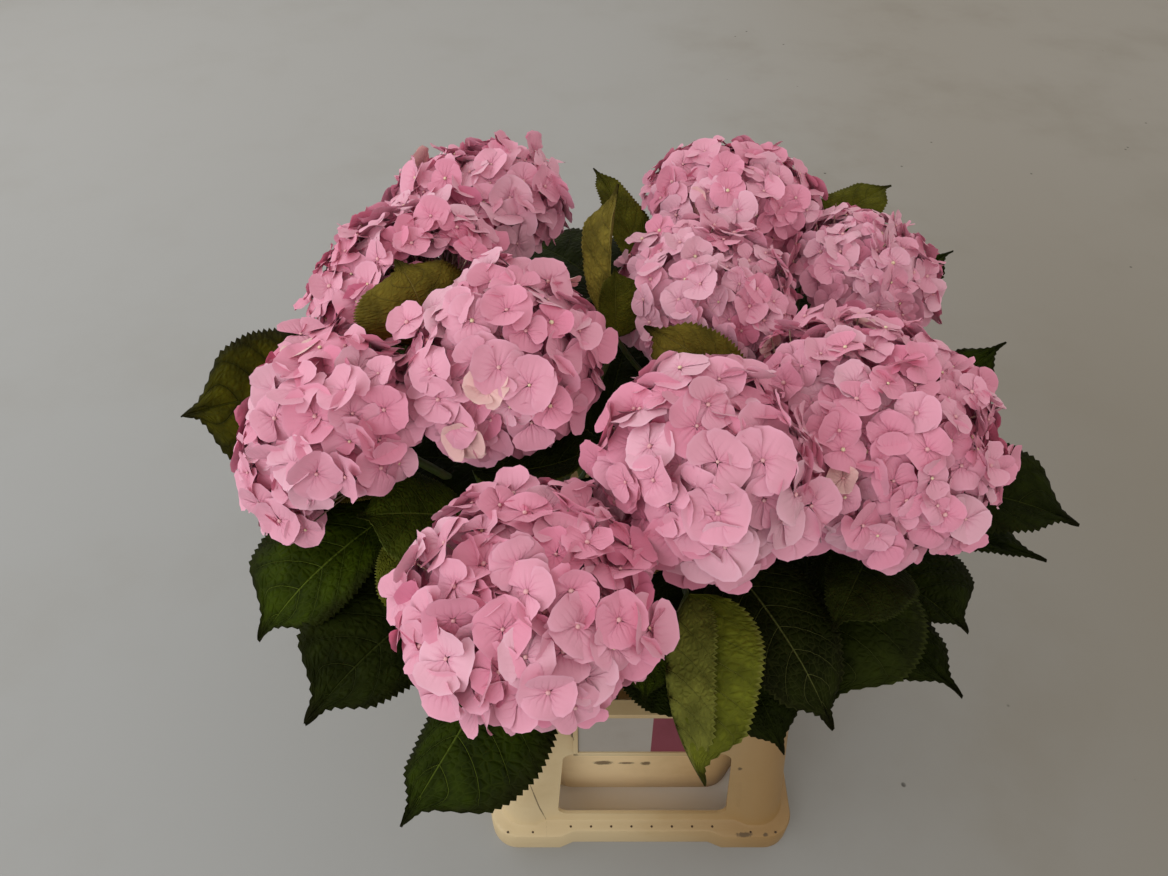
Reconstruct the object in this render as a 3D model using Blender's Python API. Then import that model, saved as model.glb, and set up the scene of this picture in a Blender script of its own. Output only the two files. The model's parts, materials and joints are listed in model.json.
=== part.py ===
"""Ten cut mophead hydrangea stems with their leaves, standing in a plastic flower container.

Run it with blender --background --python part.py, or from Blender's text editor.
Lengths are metres and angles degrees. +Z is up, the container stands on z = 0 and its front,
with the label card, faces -Y.
"""

import math
import random
from collections import namedtuple

import bmesh
import bpy
from mathutils import Matrix, Vector
from mathutils.bvhtree import BVHTree

UP = Vector((0, 0, 1))
GAP = 0.0003

# The container: half sizes along X and Y.
FOOT_HALF = (0.165, 0.220)
WALL_FOOT_HALF = (0.155, 0.207)
WALL_TOP_HALF = (0.135, 0.184)
BUCKET_FOOT_HALF = (0.105, 0.156)
BUCKET_TOP_HALF = (0.127, 0.175)
RIM_HALF = (0.139, 0.188)
CORNER_RADIUS = 0.030
CORNER_STEPS = 4
PLASTIC = 0.0035
FLOOR_THICKNESS = 0.0042
HEIGHT = 0.255
RIM_DEPTH = 0.006
FOOT_BAND = 0.031
FOOT_BEVEL = 0.003
WINDOW_BOTTOM = 0.052
WINDOW_TOP = 0.169
WINDOW_RADIUS = 0.012
FRONT_WINDOW = 0.174
SIDE_WINDOW = 0.240

# The label card and the pocket on the front that holds it.
CARD_LEFT = -0.075
CARD_RIGHT = 0.065
CARD_BOTTOM = 0.181
CARD_TOP = 0.243
CARD_THICKNESS = 0.0012
LIP_WIDTH = 0.005
LIP_DEPTH = 0.0035

# Stems.
STEM_FOOT_RADIUS = 0.0046
STEM_RADIUS = 0.0038
STEM_SPLIT = 0.335
STEM_RINGS = 4
STEM_SIDES = 6
SHOULDER_HEIGHT = 0.33
FOOT_SPREAD = (0.26, 0.48)
SHOULDER_SPREAD = (0.28, 0.52)
PETIOLE_RADIUS = 0.0026
PETIOLE_LIFT = 0.25
PETIOLE_START = 0.001

# Leaves.
LEAF_THICKNESS = 0.0020
LEAF_STATIONS = (0.0, 0.16, 0.42, 0.72, 1.0)
LEAF_TIP_WIDTH = 0.004
PETIOLE_SINK = 0.012

# Flower heads.
CORE_SHARE = 0.64
FLORETS = 14
FLORET_RADIUS = 0.032
FLORET_DIP = 0.16
FLORET_LOWEST = 118
FLORET_TILT = 14
LEAST_FLORET = 0.60
LOBE_SHOULDER = 24
NOTCH_SHARE = 0.72
HEAD_CLEARANCE = 0.0008
GOLDEN_ANGLE = math.radians(137.508)
SEED = 27

Head = namedtuple("Head", "x y z width depth lean_x lean_y")
Leaf = namedtuple("Leaf", "stem node base tip width bow roll fold")

# Each flower head: its centre, its half width and half depth, and how its axis leans from upright.
HEADS = {
    1: Head(-0.163, 0.190, 0.542, 0.096, 0.066, -0.26, 0.21),
    2: Head(-0.215, 0.050, 0.560, 0.087, 0.062, -0.32, 0.05),
    3: Head(-0.260, -0.070, 0.520, 0.094, 0.062, -0.90, -0.15),
    4: Head(-0.125, -0.040, 0.562, 0.088, 0.072, -0.20, -0.04),
    5: Head(0.085, 0.210, 0.535, 0.089, 0.062, 0.15, 0.24),
    6: Head(0.042, 0.060, 0.540, 0.081, 0.068, 0.08, 0.07),
    7: Head(0.205, 0.130, 0.510, 0.075, 0.058, 0.38, 0.16),
    8: Head(0.170, -0.085, 0.515, 0.102, 0.078, 0.35, -0.12),
    9: Head(0.030, -0.147, 0.553, 0.088, 0.076, 0.05, -0.17),
    10: Head(-0.095, -0.240, 0.530, 0.096, 0.058, 0.0, 0.0),
}

# Each leaf: its stem, the height of its node, the two ends and the width of its blade, how far the
# blade bows, how far it is rolled, and how far its far and near halves are folded up.
LEAVES = (
    Leaf(3, 0.42, (-0.260, 0.030, 0.445), (-0.405, -0.025, 0.490), 0.140, 0.06, 25, (8, 8)),
    Leaf(3, 0.40, (-0.205, -0.090, 0.450), (-0.312, -0.208, 0.432), 0.100, 0.08, 0, (8, 8)),
    Leaf(3, 0.42, (-0.215, -0.090, 0.430), (-0.286, -0.120, 0.430), 0.060, 0.06, 0, (10, 10)),
    Leaf(10, 0.40, (-0.135, -0.160, 0.408), (-0.262, -0.274, 0.422), 0.118, 0.06, 12, (6, 6)),
    Leaf(10, 0.42, (-0.115, -0.217, 0.448), (-0.181, -0.344, 0.430), 0.105, 0.10, -8, (-15, 5)),
    Leaf(10, 0.43, (-0.120, -0.165, 0.462), (-0.210, -0.191, 0.472), 0.060, 0.04, 0, (10, 10)),
    Leaf(4, 0.44, (-0.135, -0.085, 0.475), (-0.222, -0.152, 0.500), 0.080, 0.05, 0, (8, 8)),
    Leaf(10, 0.44, (-0.127, -0.117, 0.492), (-0.048, -0.104, 0.535), 0.055, -0.10, 0, (10, 10)),
    Leaf(2, 0.45, (-0.200, -0.022, 0.560), (-0.230, 0.010, 0.655), 0.105, 0.08, 0, (6, 6)),
    Leaf(4, 0.44, (-0.040, 0.015, 0.525), (-0.030, 0.116, 0.620), 0.045, 0.04, 60, (30, 30)),
    Leaf(6, 0.44, (-0.032, 0.030, 0.505), (-0.046, 0.080, 0.550), 0.034, 0.05, 0, (10, 10)),
    Leaf(1, 0.45, (-0.025, 0.150, 0.500), (-0.048, 0.264, 0.550), 0.085, 0.05, 0, (10, 10)),
    Leaf(9, 0.43, (0.060, -0.045, 0.500), (-0.012, -0.014, 0.575), 0.095, 0.08, 35, (8, 8)),
    Leaf(7, 0.42, (0.175, 0.190, 0.462), (0.251, 0.250, 0.540), 0.070, 0.05, 0, (8, 8)),
    Leaf(7, 0.41, (0.200, 0.135, 0.435), (0.309, 0.188, 0.500), 0.064, 0.05, 0, (8, 8)),
    Leaf(8, 0.42, (0.190, -0.030, 0.440), (0.303, 0.028, 0.520), 0.058, 0.05, 0, (8, 8)),
    Leaf(8, 0.41, (0.190, -0.050, 0.425), (0.345, -0.118, 0.450), 0.130, 0.06, -22, (6, 6)),
    Leaf(8, 0.37, (0.170, -0.065, 0.375), (0.322, -0.122, 0.402), 0.080, 0.06, 0, (6, 6)),
    Leaf(8, 0.38, (0.168, -0.108, 0.398), (0.238, -0.194, 0.415), 0.068, 0.06, 0, (6, 6)),
    Leaf(8, 0.35, (0.130, -0.110, 0.365), (0.225, -0.239, 0.400), 0.075, 0.06, 0, (6, 6)),
    Leaf(8, 0.41, (0.145, -0.120, 0.425), (0.112, -0.265, 0.420), 0.115, 0.08, 0, (6, 6)),
    Leaf(8, 0.43, (0.165, -0.140, 0.445), (0.112, -0.235, 0.482), 0.088, 0.03, 0, (6, 6)),
    Leaf(9, 0.42, (0.045, -0.165, 0.450), (0.114, -0.280, 0.432), 0.095, 0.08, 0, (6, 6)),
    Leaf(9, 0.44, (0.012, -0.200, 0.475), (0.018, -0.324, 0.440), 0.100, 0.10, 0, (10, 10)),
    Leaf(10, 0.42, (-0.010, -0.195, 0.445), (-0.020, -0.265, 0.440), 0.050, 0.06, 0, (10, 10)),
    Leaf(10, 0.39, (-0.015, -0.185, 0.405), (0.014, -0.279, 0.405), 0.075, 0.08, 0, (10, 10)),
    Leaf(9, 0.37, (0.050, -0.185, 0.385), (0.088, -0.277, 0.380), 0.065, 0.08, 0, (10, 10)),
    Leaf(1, 0.41, (-0.130, 0.200, 0.430), (-0.150, 0.345, 0.420), 0.100, 0.08, 0, (8, 8)),
    Leaf(1, 0.41, (-0.165, 0.155, 0.425), (-0.290, 0.235, 0.420), 0.095, 0.08, 0, (8, 8)),
    Leaf(2, 0.39, (-0.165, 0.055, 0.410), (-0.325, 0.090, 0.400), 0.105, 0.08, 0, (8, 8)),
    Leaf(3, 0.37, (-0.195, -0.050, 0.385), (-0.335, -0.060, 0.365), 0.095, 0.08, 0, (8, 8)),
    Leaf(5, 0.41, (0.065, 0.210, 0.430), (0.045, 0.355, 0.420), 0.095, 0.08, 0, (8, 8)),
    Leaf(5, 0.40, (0.135, 0.175, 0.425), (0.235, 0.280, 0.425), 0.090, 0.08, 0, (8, 8)),
    Leaf(7, 0.37, (0.170, 0.085, 0.385), (0.300, 0.092, 0.375), 0.090, 0.08, 0, (8, 8)),
    Leaf(7, 0.39, (0.165, 0.150, 0.405), (0.225, 0.270, 0.395), 0.085, 0.08, 0, (8, 8)),
)

# Lower leaf pairs, which stand crosswise on each stem under the heads.
PAIR_NODES = (0.365, 0.405)
PAIR_LENGTH = 0.120
PAIR_WIDTH = 0.078
PAIR_PETIOLE = 0.030
PAIR_RISE = 0.012
PAIR_BOW = 0.10
PAIR_TURN = 50
PAIR_OPPOSITE = 172

PINK = (0.74, 0.30, 0.40, 1)
GREEN = (0.035, 0.055, 0.010, 1)
STEM_GREEN = (0.10, 0.15, 0.03, 1)
CREAM = (0.66, 0.53, 0.30, 1)
CARD_WHITE = (0.72, 0.70, 0.68, 1)


def clear_scene():
    for obj in list(bpy.data.objects):
        bpy.data.objects.remove(obj, do_unlink=True)


def material(name, colour, roughness):
    made = bpy.data.materials.new(name)
    made.diffuse_color = colour
    made.use_nodes = True
    shader = made.node_tree.nodes["Principled BSDF"]
    shader.inputs["Base Color"].default_value = colour
    shader.inputs["Roughness"].default_value = roughness
    shader.inputs["Metallic"].default_value = 0.0
    return made


def object_from(bm, name, finish=None, smooth=False):
    """Turns a finished bmesh into an object of this name in the scene."""
    bmesh.ops.recalc_face_normals(bm, faces=bm.faces)
    if bm.calc_volume(signed=True) < 0:
        bmesh.ops.reverse_faces(bm, faces=bm.faces)
    mesh = bpy.data.meshes.new(name)
    bm.to_mesh(mesh)
    bm.free()
    for polygon in mesh.polygons:
        polygon.use_smooth = smooth
    if finish:
        mesh.materials.append(finish)
    obj = bpy.data.objects.new(name, mesh)
    bpy.context.scene.collection.objects.link(obj)
    return obj


def bake_modifiers(obj):
    """Puts the evaluated mesh in place of the mesh and its modifiers."""
    graph = bpy.context.evaluated_depsgraph_get()
    baked = bpy.data.meshes.new_from_object(obj.evaluated_get(graph))
    obj.modifiers.clear()
    obj.data = baked


def fused(pieces, name, finish, solver="EXACT"):
    """One object from the union of the pieces, which are closed and overlap."""
    collection = bpy.data.collections.new(name + "_pieces")
    bpy.context.scene.collection.children.link(collection)
    first = pieces[0]
    for piece in pieces[1:]:
        bpy.context.scene.collection.objects.unlink(piece)
        collection.objects.link(piece)
    union = first.modifiers.new("Union", "BOOLEAN")
    union.operation = "UNION"
    union.operand_type = "COLLECTION"
    union.collection = collection
    union.solver = solver
    bpy.context.view_layer.update()
    bake_modifiers(first)
    for piece in pieces[1:]:
        bpy.data.objects.remove(piece, do_unlink=True)
    bpy.data.collections.remove(collection)
    first.name = name
    first.data.name = name
    first.data.materials.clear()
    first.data.materials.append(finish)
    drop_scraps(first)
    return first


def drop_scraps(obj):
    """Keeps only the largest connected body of the mesh."""
    bm = bmesh.new()
    bm.from_mesh(obj.data)
    left = set(bm.verts)
    bodies = []
    while left:
        body = set()
        edge = [left.pop()]
        while edge:
            vert = edge.pop()
            body.add(vert)
            for link in vert.link_edges:
                other = link.other_vert(vert)
                if other in left:
                    left.discard(other)
                    edge.append(other)
        bodies.append(body)
    keep = max(bodies, key=len)
    bmesh.ops.delete(bm, geom=[vert for vert in bm.verts if vert not in keep], context="VERTS")
    bmesh.ops.triangulate(bm, faces=bm.faces)
    bm.to_mesh(obj.data)
    bm.free()


# ---- the container ----


def rounded_outline(half, z, radius=CORNER_RADIUS):
    """Points round a rectangle of this half size with rounded corners, anticlockwise at height z."""
    centre_x = half[0] - radius
    centre_y = half[1] - radius
    points = []
    for quarter, (side_x, side_y) in enumerate(((1, 1), (-1, 1), (-1, -1), (1, -1))):
        for step in range(CORNER_STEPS + 1):
            angle = math.radians(90 * (quarter + step / CORNER_STEPS))
            points.append((side_x * centre_x + radius * math.cos(angle),
                           side_y * centre_y + radius * math.sin(angle), z))
    return points


def join_loops(bm, lower, upper):
    """A band of faces between two loops of as many points."""
    for index, point in enumerate(lower):
        following = (index + 1) % len(lower)
        bm.faces.new((point, lower[following], upper[following], upper[index]))


def shell_from(outlines, closed_ring):
    """A solid from outlines joined one to the next; a ring also joins the last to the first."""
    bm = bmesh.new()
    loops = [[bm.verts.new(point) for point in outline] for outline in outlines]
    following = loops[1:] + loops[:1] if closed_ring else loops[1:]
    for lower, upper in zip(loops, following):
        join_loops(bm, lower, upper)
    if not closed_ring:
        bm.faces.new(loops[0])
        bm.faces.new(loops[-1])
    return bm


def inset_half(half, amount):
    return (half[0] - amount, half[1] - amount)


def wall_half(z):
    """Half size of the outside of the skirt wall at height z."""
    share = (z - FOOT_BAND) / (HEIGHT - FOOT_BAND)
    return tuple(foot + share * (top - foot) for foot, top in zip(WALL_FOOT_HALF, WALL_TOP_HALF))


def make_bucket(finish):
    """The inner bucket and the rim it ends in, from a flat floor."""
    under_rim = HEIGHT - RIM_DEPTH
    inner_foot = inset_half(BUCKET_FOOT_HALF, PLASTIC)
    inner_top = inset_half(BUCKET_TOP_HALF, PLASTIC)
    outlines = (
        rounded_outline(BUCKET_FOOT_HALF, 0),
        rounded_outline(BUCKET_TOP_HALF, under_rim),
        rounded_outline(RIM_HALF, under_rim),
        rounded_outline(RIM_HALF, HEIGHT),
        rounded_outline(inner_top, HEIGHT),
        rounded_outline(inner_foot, FLOOR_THICKNESS),
    )
    return object_from(shell_from(outlines, closed_ring=False), "bucket", finish)


def window_cutter(name, along_y, width):
    """A bar with rounded edges that cuts a window in two opposite walls."""
    reach = 2.4 * max(FOOT_HALF)
    height = WINDOW_TOP - WINDOW_BOTTOM
    size = (width, reach, height) if along_y else (reach, width, height)
    bm = bmesh.new()
    bmesh.ops.create_cube(bm, size=1, matrix=Matrix.Diagonal((*size, 1)))
    across = 1 if along_y else 0
    long_edges = []
    for edge in bm.edges:
        if abs((edge.verts[0].co - edge.verts[1].co)[across]) > reach / 2:
            long_edges.append(edge)
    bmesh.ops.bevel(bm, geom=long_edges, offset=WINDOW_RADIUS, segments=3, profile=0.5,
                    affect="EDGES")
    bmesh.ops.translate(bm, verts=bm.verts, vec=(0, 0, (WINDOW_TOP + WINDOW_BOTTOM) / 2))
    cutter = object_from(bm, name)
    cutter.hide_render = True
    cutter.display_type = "WIRE"
    return cutter


def make_skirt(finish):
    """The outer wall with its foot band, open below, with a window in each side."""
    top = HEIGHT - RIM_DEPTH - GAP
    wall_top = wall_half(top)
    outlines = (
        rounded_outline(FOOT_HALF, 0),
        rounded_outline(FOOT_HALF, FOOT_BAND - FOOT_BEVEL),
        rounded_outline(inset_half(FOOT_HALF, FOOT_BEVEL), FOOT_BAND),
        rounded_outline(WALL_FOOT_HALF, FOOT_BAND),
        rounded_outline(wall_top, top),
        rounded_outline(inset_half(wall_top, PLASTIC), top),
        rounded_outline(inset_half(WALL_FOOT_HALF, PLASTIC), FOOT_BAND - PLASTIC),
        rounded_outline(inset_half(FOOT_HALF, PLASTIC), FOOT_BAND - PLASTIC - FOOT_BEVEL),
        rounded_outline(inset_half(FOOT_HALF, PLASTIC), 0),
    )
    skirt = object_from(shell_from(outlines, closed_ring=True), "skirt", finish)
    for cutter in (window_cutter("front_window_cutter", True, FRONT_WINDOW),
                   window_cutter("side_window_cutter", False, SIDE_WINDOW)):
        cut = skirt.modifiers.new(cutter.name, "BOOLEAN")
        cut.operation = "DIFFERENCE"
        cut.object = cutter
    bpy.context.view_layer.update()
    bake_modifiers(skirt)
    lips = [pocket_lip("lip_below", CARD_LEFT - LIP_WIDTH, CARD_RIGHT + LIP_WIDTH,
                       CARD_BOTTOM - LIP_WIDTH, CARD_BOTTOM - GAP)]
    for name, inner, outer in (("lip_left", CARD_LEFT - GAP, CARD_LEFT - LIP_WIDTH),
                               ("lip_right", CARD_RIGHT + GAP, CARD_RIGHT + LIP_WIDTH)):
        lips.append(pocket_lip(name, min(inner, outer), max(inner, outer),
                               CARD_BOTTOM - LIP_WIDTH / 2, CARD_TOP))
    return fused([skirt] + lips, "skirt", finish, solver="EXACT")


def on_front(x, z, out):
    """A point of the sloping front wall, moved out from it."""
    return (x, -wall_half(z)[1] - out, z)


def front_slab(bm, left, right, bottom, top, inside, outside):
    """A slab that follows the slope of the front wall between two distances from it."""
    corners = []
    for out in (inside, outside):
        for x, z in ((left, bottom), (right, bottom), (right, top), (left, top)):
            corners.append(bm.verts.new(on_front(x, z, out)))
    for loop in ((0, 1, 2, 3), (4, 5, 6, 7), (0, 1, 5, 4), (1, 2, 6, 5), (2, 3, 7, 6), (3, 0, 4, 7)):
        bm.faces.new([corners[index] for index in loop])


def pocket_lip(name, left, right, bottom, top):
    bm = bmesh.new()
    front_slab(bm, left, right, bottom, top, -PLASTIC / 2, LIP_DEPTH)
    return object_from(bm, name)


def make_label_card(finish):
    bm = bmesh.new()
    front_slab(bm, CARD_LEFT, CARD_RIGHT, CARD_BOTTOM, CARD_TOP, GAP, GAP + CARD_THICKNESS)
    return object_from(bm, "label_card", finish)


# ---- stems ----


def head_centre(head):
    return Vector((head.x, head.y, head.z))


def head_axis(head):
    return Vector((head.lean_x, head.lean_y, 1)).normalized()


def stem_curve(head):
    """Foot, shoulder and top of a stem: the three handles of its bend."""
    foot = Vector((FOOT_SPREAD[0] * head.x, FOOT_SPREAD[1] * head.y, FLOOR_THICKNESS + GAP))
    shoulder = Vector((SHOULDER_SPREAD[0] * head.x, SHOULDER_SPREAD[1] * head.y, SHOULDER_HEIGHT))
    top = head_centre(head) - head_axis(head) * head.depth * 0.95
    return foot, shoulder, top


def bend(handles, share):
    """The point at this share of a curve with three handles."""
    start, middle, end = handles
    return start * (1 - share) ** 2 + middle * (2 * share * (1 - share)) + end * share ** 2


def share_at_height(handles, z):
    low, high = 0.0, 1.0
    for _ in range(30):
        middle = (low + high) / 2
        if bend(handles, middle).z < z:
            low = middle
        else:
            high = middle
    return middle


def tube(points, radii, sides, start_along=None, end_along=None):
    """A closed tube through the points, with a flat cut square to the given way at each end."""
    bm = bmesh.new()
    rings = []
    across = (points[1] - points[0]).orthogonal()
    ways = [after - before for before, after in zip(points[:1] + points, points[1:] + points[-1:])]
    ways[0] = start_along or ways[0]
    ways[-1] = end_along or ways[-1]
    for point, radius, way in zip(points, radii, ways):
        along = way.normalized()
        across = (across - along * across.dot(along)).normalized()
        other = along.cross(across)
        ring = []
        for side in range(sides):
            angle = 2 * math.pi * side / sides
            offset = across * math.cos(angle) + other * math.sin(angle)
            ring.append(bm.verts.new(point + offset * radius))
        rings.append(ring)
    for lower, upper in zip(rings, rings[1:]):
        join_loops(bm, lower, upper)
    bm.faces.new(rings[0])
    bm.faces.new(rings[-1])
    return bm


def stem_radius(z):
    share = min(max(z / STEM_SPLIT, 0), 1)
    return STEM_FOOT_RADIUS + (STEM_RADIUS - STEM_FOOT_RADIUS) * share


def stem_piece(handles, start, end, start_along, end_along):
    """A stretch of a stem between two shares of its bend, with its two ends cut square to a way."""
    points = []
    for step in range(STEM_RINGS + 1):
        points.append(bend(handles, start + (end - start) * step / STEM_RINGS))
    radii = [stem_radius(point.z) for point in points]
    return tube(points, radii, STEM_SIDES, start_along, end_along)


def upper_stem(head):
    """The stem from its split, which hides among the leaves, to under its flower head."""
    handles = stem_curve(head)
    start = share_at_height(handles, STEM_SPLIT + GAP)
    return stem_piece(handles, start, 1.0, UP, head_axis(head))


def make_stem(number, head, finish):
    handles = stem_curve(head)
    split = share_at_height(handles, STEM_SPLIT)
    bm = stem_piece(handles, 0.0, split, UP, UP)
    return object_from(bm, f"stem_{number:02d}", finish)


# ---- leaves ----


def leaf_width_share(share):
    """Half width of an ovate blade as a share of its greatest, along its length."""
    rounded = math.sin(math.pi * share ** 0.78) ** 0.72 if 0 < share < 1 else 0.0
    return rounded * (1 - 0.25 * share ** 4)


def leaf_frame(leaf):
    """The blade's length, its direction, its sideways direction and its upper side."""
    base, tip = Vector(leaf.base), Vector(leaf.tip)
    along = tip - base
    length = along.length
    along.normalize()
    level = along.cross(UP).normalized()
    upper = level.cross(along)
    roll = math.radians(leaf.roll)
    side = level * math.cos(roll) + upper * math.sin(roll)
    return length, along, side, side.cross(along), upper


def blade(leaf, thickness=LEAF_THICKNESS):
    """A thin ovate blade, folded along its midrib and bowed along its length."""
    length, along, side, normal, upper = leaf_frame(leaf)
    far, near = (math.radians(angle) for angle in leaf.fold)
    rows = []
    bm = bmesh.new()
    for share in LEAF_STATIONS:
        middle = Vector(leaf.base) + along * length * share
        middle += upper * leaf.bow * length * 4 * share * (1 - share)
        half = max(leaf.width / 2 * leaf_width_share(share), LEAF_TIP_WIDTH / 2)
        row = []
        for face in (0.5, -0.5):
            lift = normal * thickness * face
            far_point = middle + (side * math.cos(far) + normal * math.sin(far)) * half
            near_point = middle + (-side * math.cos(near) + normal * math.sin(near)) * half
            row.append([bm.verts.new(point + lift) for point in (far_point, middle, near_point)])
        rows.append(row)
    for (low_top, low_under), (high_top, high_under) in zip(rows, rows[1:]):
        for column in (0, 1):
            for low, high in ((low_top, high_top), (low_under, high_under)):
                bm.faces.new((low[column], low[column + 1], high[column + 1], high[column]))
        for column in (0, 2):
            bm.faces.new((low_top[column], high_top[column], high_under[column], low_under[column]))
    for top, under in (rows[0], rows[-1]):
        for column in (0, 1):
            bm.faces.new((top[column], top[column + 1], under[column + 1], under[column]))
    bmesh.ops.triangulate(bm, faces=bm.faces)
    return bm


def petiole(leaf, handles):
    """The leaf stalk, from the middle of the stem to a little way along the blade."""
    node = bend(handles, share_at_height(handles, leaf.node))
    length, along, _, _, upper = leaf_frame(leaf)
    base = Vector(leaf.base)
    sunk = base + along * PETIOLE_SINK
    sunk += upper * leaf.bow * 4 * PETIOLE_SINK * (1 - PETIOLE_SINK / length)
    middle = (node + base) / 2 - UP * PETIOLE_LIFT * (base - node).length
    start = node - (base - node).normalized() * PETIOLE_START
    half_way = bend((start, middle, base), 0.5)
    return tube([start, half_way, base, sunk], [PETIOLE_RADIUS] * 4, 3)


def lower_pairs(number, head):
    """Pairs of leaves that stand opposite each other, each pair turned crosswise to the last."""
    handles = stem_curve(head)
    turn = random.Random(SEED * number).uniform(-PAIR_TURN, PAIR_TURN)
    outward = math.degrees(math.atan2(head.y, head.x)) + turn
    made = []
    for pair, height in enumerate(PAIR_NODES):
        node = bend(handles, share_at_height(handles, height))
        for side in (0, PAIR_OPPOSITE):
            heading = math.radians(outward + side + 90 * pair)
            away = Vector((math.cos(heading), math.sin(heading), 0))
            base = node + away * PAIR_PETIOLE + UP * PAIR_RISE
            tip = base + away * PAIR_LENGTH
            made.append(Leaf(number, height, base, tip, PAIR_WIDTH, PAIR_BOW, 0, (8, 8)))
    return made


def tree_of(bm):
    return BVHTree.FromBMesh(bm)


def thick_tree(leaf):
    bm = blade(leaf, thickness=LEAF_THICKNESS * 2.5)
    tree = tree_of(bm)
    bm.free()
    return tree


def stalk_tree(leaf, handles):
    bm = petiole(leaf, handles)
    tree = tree_of(bm)
    bm.free()
    return tree


def core_mesh(head, share=CORE_SHARE):
    bm = bmesh.new()
    bmesh.ops.create_icosphere(bm, subdivisions=2, radius=1)
    size = Matrix.Diagonal((head.width * share, head.width * share, head.depth * share, 1))
    turn = UP.rotation_difference(head_axis(head)).to_matrix().to_4x4()
    bm.transform(Matrix.Translation(head_centre(head)) @ turn @ size)
    return bm


def core_tree(head):
    bm = core_mesh(head, CORE_SHARE * 1.06)
    tree = tree_of(bm)
    bm.free()
    return tree


def inside_core(point, head):
    local = UP.rotation_difference(head_axis(head)).to_matrix().inverted() @ (point - head_centre(head))
    share = CORE_SHARE * 1.06
    scaled = Vector((local.x / head.width, local.y / head.width, local.z / head.depth)) / share
    return scaled.length < 1


def choose_leaves():
    """Leaves of each stem, leaving out any that touches a core, a stem or another stem's leaf."""
    handles = {number: stem_curve(head) for number, head in HEADS.items()}
    stems = {}
    for number, head in HEADS.items():
        bm = upper_stem(head)
        stems[number] = tree_of(bm)
        bm.free()
    cores = {number: core_tree(head) for number, head in HEADS.items()}
    wanted = list(LEAVES)
    for number, head in HEADS.items():
        wanted += lower_pairs(number, head)
    chosen = {number: [] for number in HEADS}
    placed = []
    for leaf in wanted:
        trees = (thick_tree(leaf), stalk_tree(leaf, handles[leaf.stem]))
        blocked = any(inside_core(Vector(leaf.base), head) for head in HEADS.values())
        for number in HEADS:
            obstacles = [cores[number]]
            if number != leaf.stem:
                obstacles.append(stems[number])
            blocked = blocked or any(tree.overlap(other) for tree in trees for other in obstacles)
        blocked = blocked or thick_tree(leaf).overlap(stems[leaf.stem])
        for other_stem, others in placed:
            tests = trees if other_stem != leaf.stem else trees[:1]
            for other in others if other_stem != leaf.stem else others[:1]:
                blocked = blocked or any(tree.overlap(other) for tree in tests)
        if blocked:
            continue
        chosen[leaf.stem].append(leaf)
        placed.append((leaf.stem, trees))
    return chosen


def make_leaves(number, head, leaves, finish):
    """The upper stem with its leaves fused on."""
    handles = stem_curve(head)
    pieces = [object_from(upper_stem(head), "upper_stem")]
    for leaf in leaves:
        pieces.append(object_from(petiole(leaf, handles), "petiole"))
        pieces.append(object_from(blade(leaf), "blade"))
    return fused(pieces, f"leaves_{number:02d}", finish)


# ---- flower heads ----


def floret(centre, normal, turn, radius, apex):
    """A four-lobed funnel: its rim is the flower's outline and its apex is sunk in the core."""
    across = normal.orthogonal().normalized()
    other = normal.cross(across)
    rim = []
    for quarter in range(4):
        for angle, share in ((-LOBE_SHOULDER, 1.0), (LOBE_SHOULDER, 1.0), (45, NOTCH_SHARE)):
            phase = turn + math.radians(90 * quarter + angle)
            offset = across * math.cos(phase) + other * math.sin(phase)
            rim.append(centre + offset * radius * share)
    bm = bmesh.new()
    rim_verts = [bm.verts.new(point) for point in rim]
    middle = bm.verts.new(centre - normal * radius * FLORET_DIP)
    root = bm.verts.new(apex)
    for first, second in zip(rim_verts, rim_verts[1:] + rim_verts[:1]):
        bm.faces.new((first, second, middle))
        bm.faces.new((second, first, root))
    return bm


def keeps_to_own_side(points, number):
    """Whether the points stay on their head's side of the planes half way to the other heads."""
    head = HEADS[number]
    own = head_centre(head)
    for other_number, other in HEADS.items():
        if other_number == number:
            continue
        between = head_centre(other) - own
        limit = between.length * head.width / (head.width + other.width) - HEAD_CLEARANCE
        between.normalize()
        if any((point - own).dot(between) > limit for point in points):
            return False
    return True


def head_florets(number, head, obstacles):
    """Florets spread evenly by the golden angle, from the top of the head to below its widest."""
    rng = random.Random(SEED + number)
    turn = UP.rotation_difference(head_axis(head)).to_matrix()
    lowest = math.cos(math.radians(FLORET_LOWEST))
    made = []
    for index in range(FLORETS):
        height = 1 - (1 - lowest) * (index + 0.5) / FLORETS
        angle = index * GOLDEN_ANGLE + number
        ring = math.sqrt(1 - height * height)
        unit = Vector((ring * math.cos(angle), ring * math.sin(angle), height))
        normal = Vector((unit.x / head.width, unit.y / head.width, unit.z / head.depth)).normalized()
        wobble = Vector([rng.uniform(-1, 1) for _ in range(3)]) * math.tan(math.radians(FLORET_TILT))
        facing = turn @ (normal + wobble * 0.6).normalized()
        reach = rng.uniform(0.93, 1.0)
        spin = rng.uniform(0, math.pi)
        size = rng.uniform(0.92, 1.08)
        for scale in (1.0, 0.85, 0.72, LEAST_FLORET):
            local = Vector((unit.x * head.width, unit.y * head.width, unit.z * head.depth))
            centre = head_centre(head) + turn @ local * reach * (0.55 + 0.45 * scale)
            apex = head_centre(head) + turn @ local * CORE_SHARE * 0.72
            radius = FLORET_RADIUS * size * scale
            bm = floret(centre, facing, spin, radius, apex)
            points = [vert.co.copy() for vert in bm.verts]
            grown = bm.copy()
            bmesh.ops.scale(grown, vec=(1.05, 1.05, 1.05), verts=grown.verts,
                            space=Matrix.Translation(-centre))
            tree = tree_of(grown)
            grown.free()
            touching = any(tree.overlap(other) for other in obstacles)
            if keeps_to_own_side(points, number) and not touching:
                made.append(object_from(bm, "floret"))
                break
            bm.free()
    return made


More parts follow.
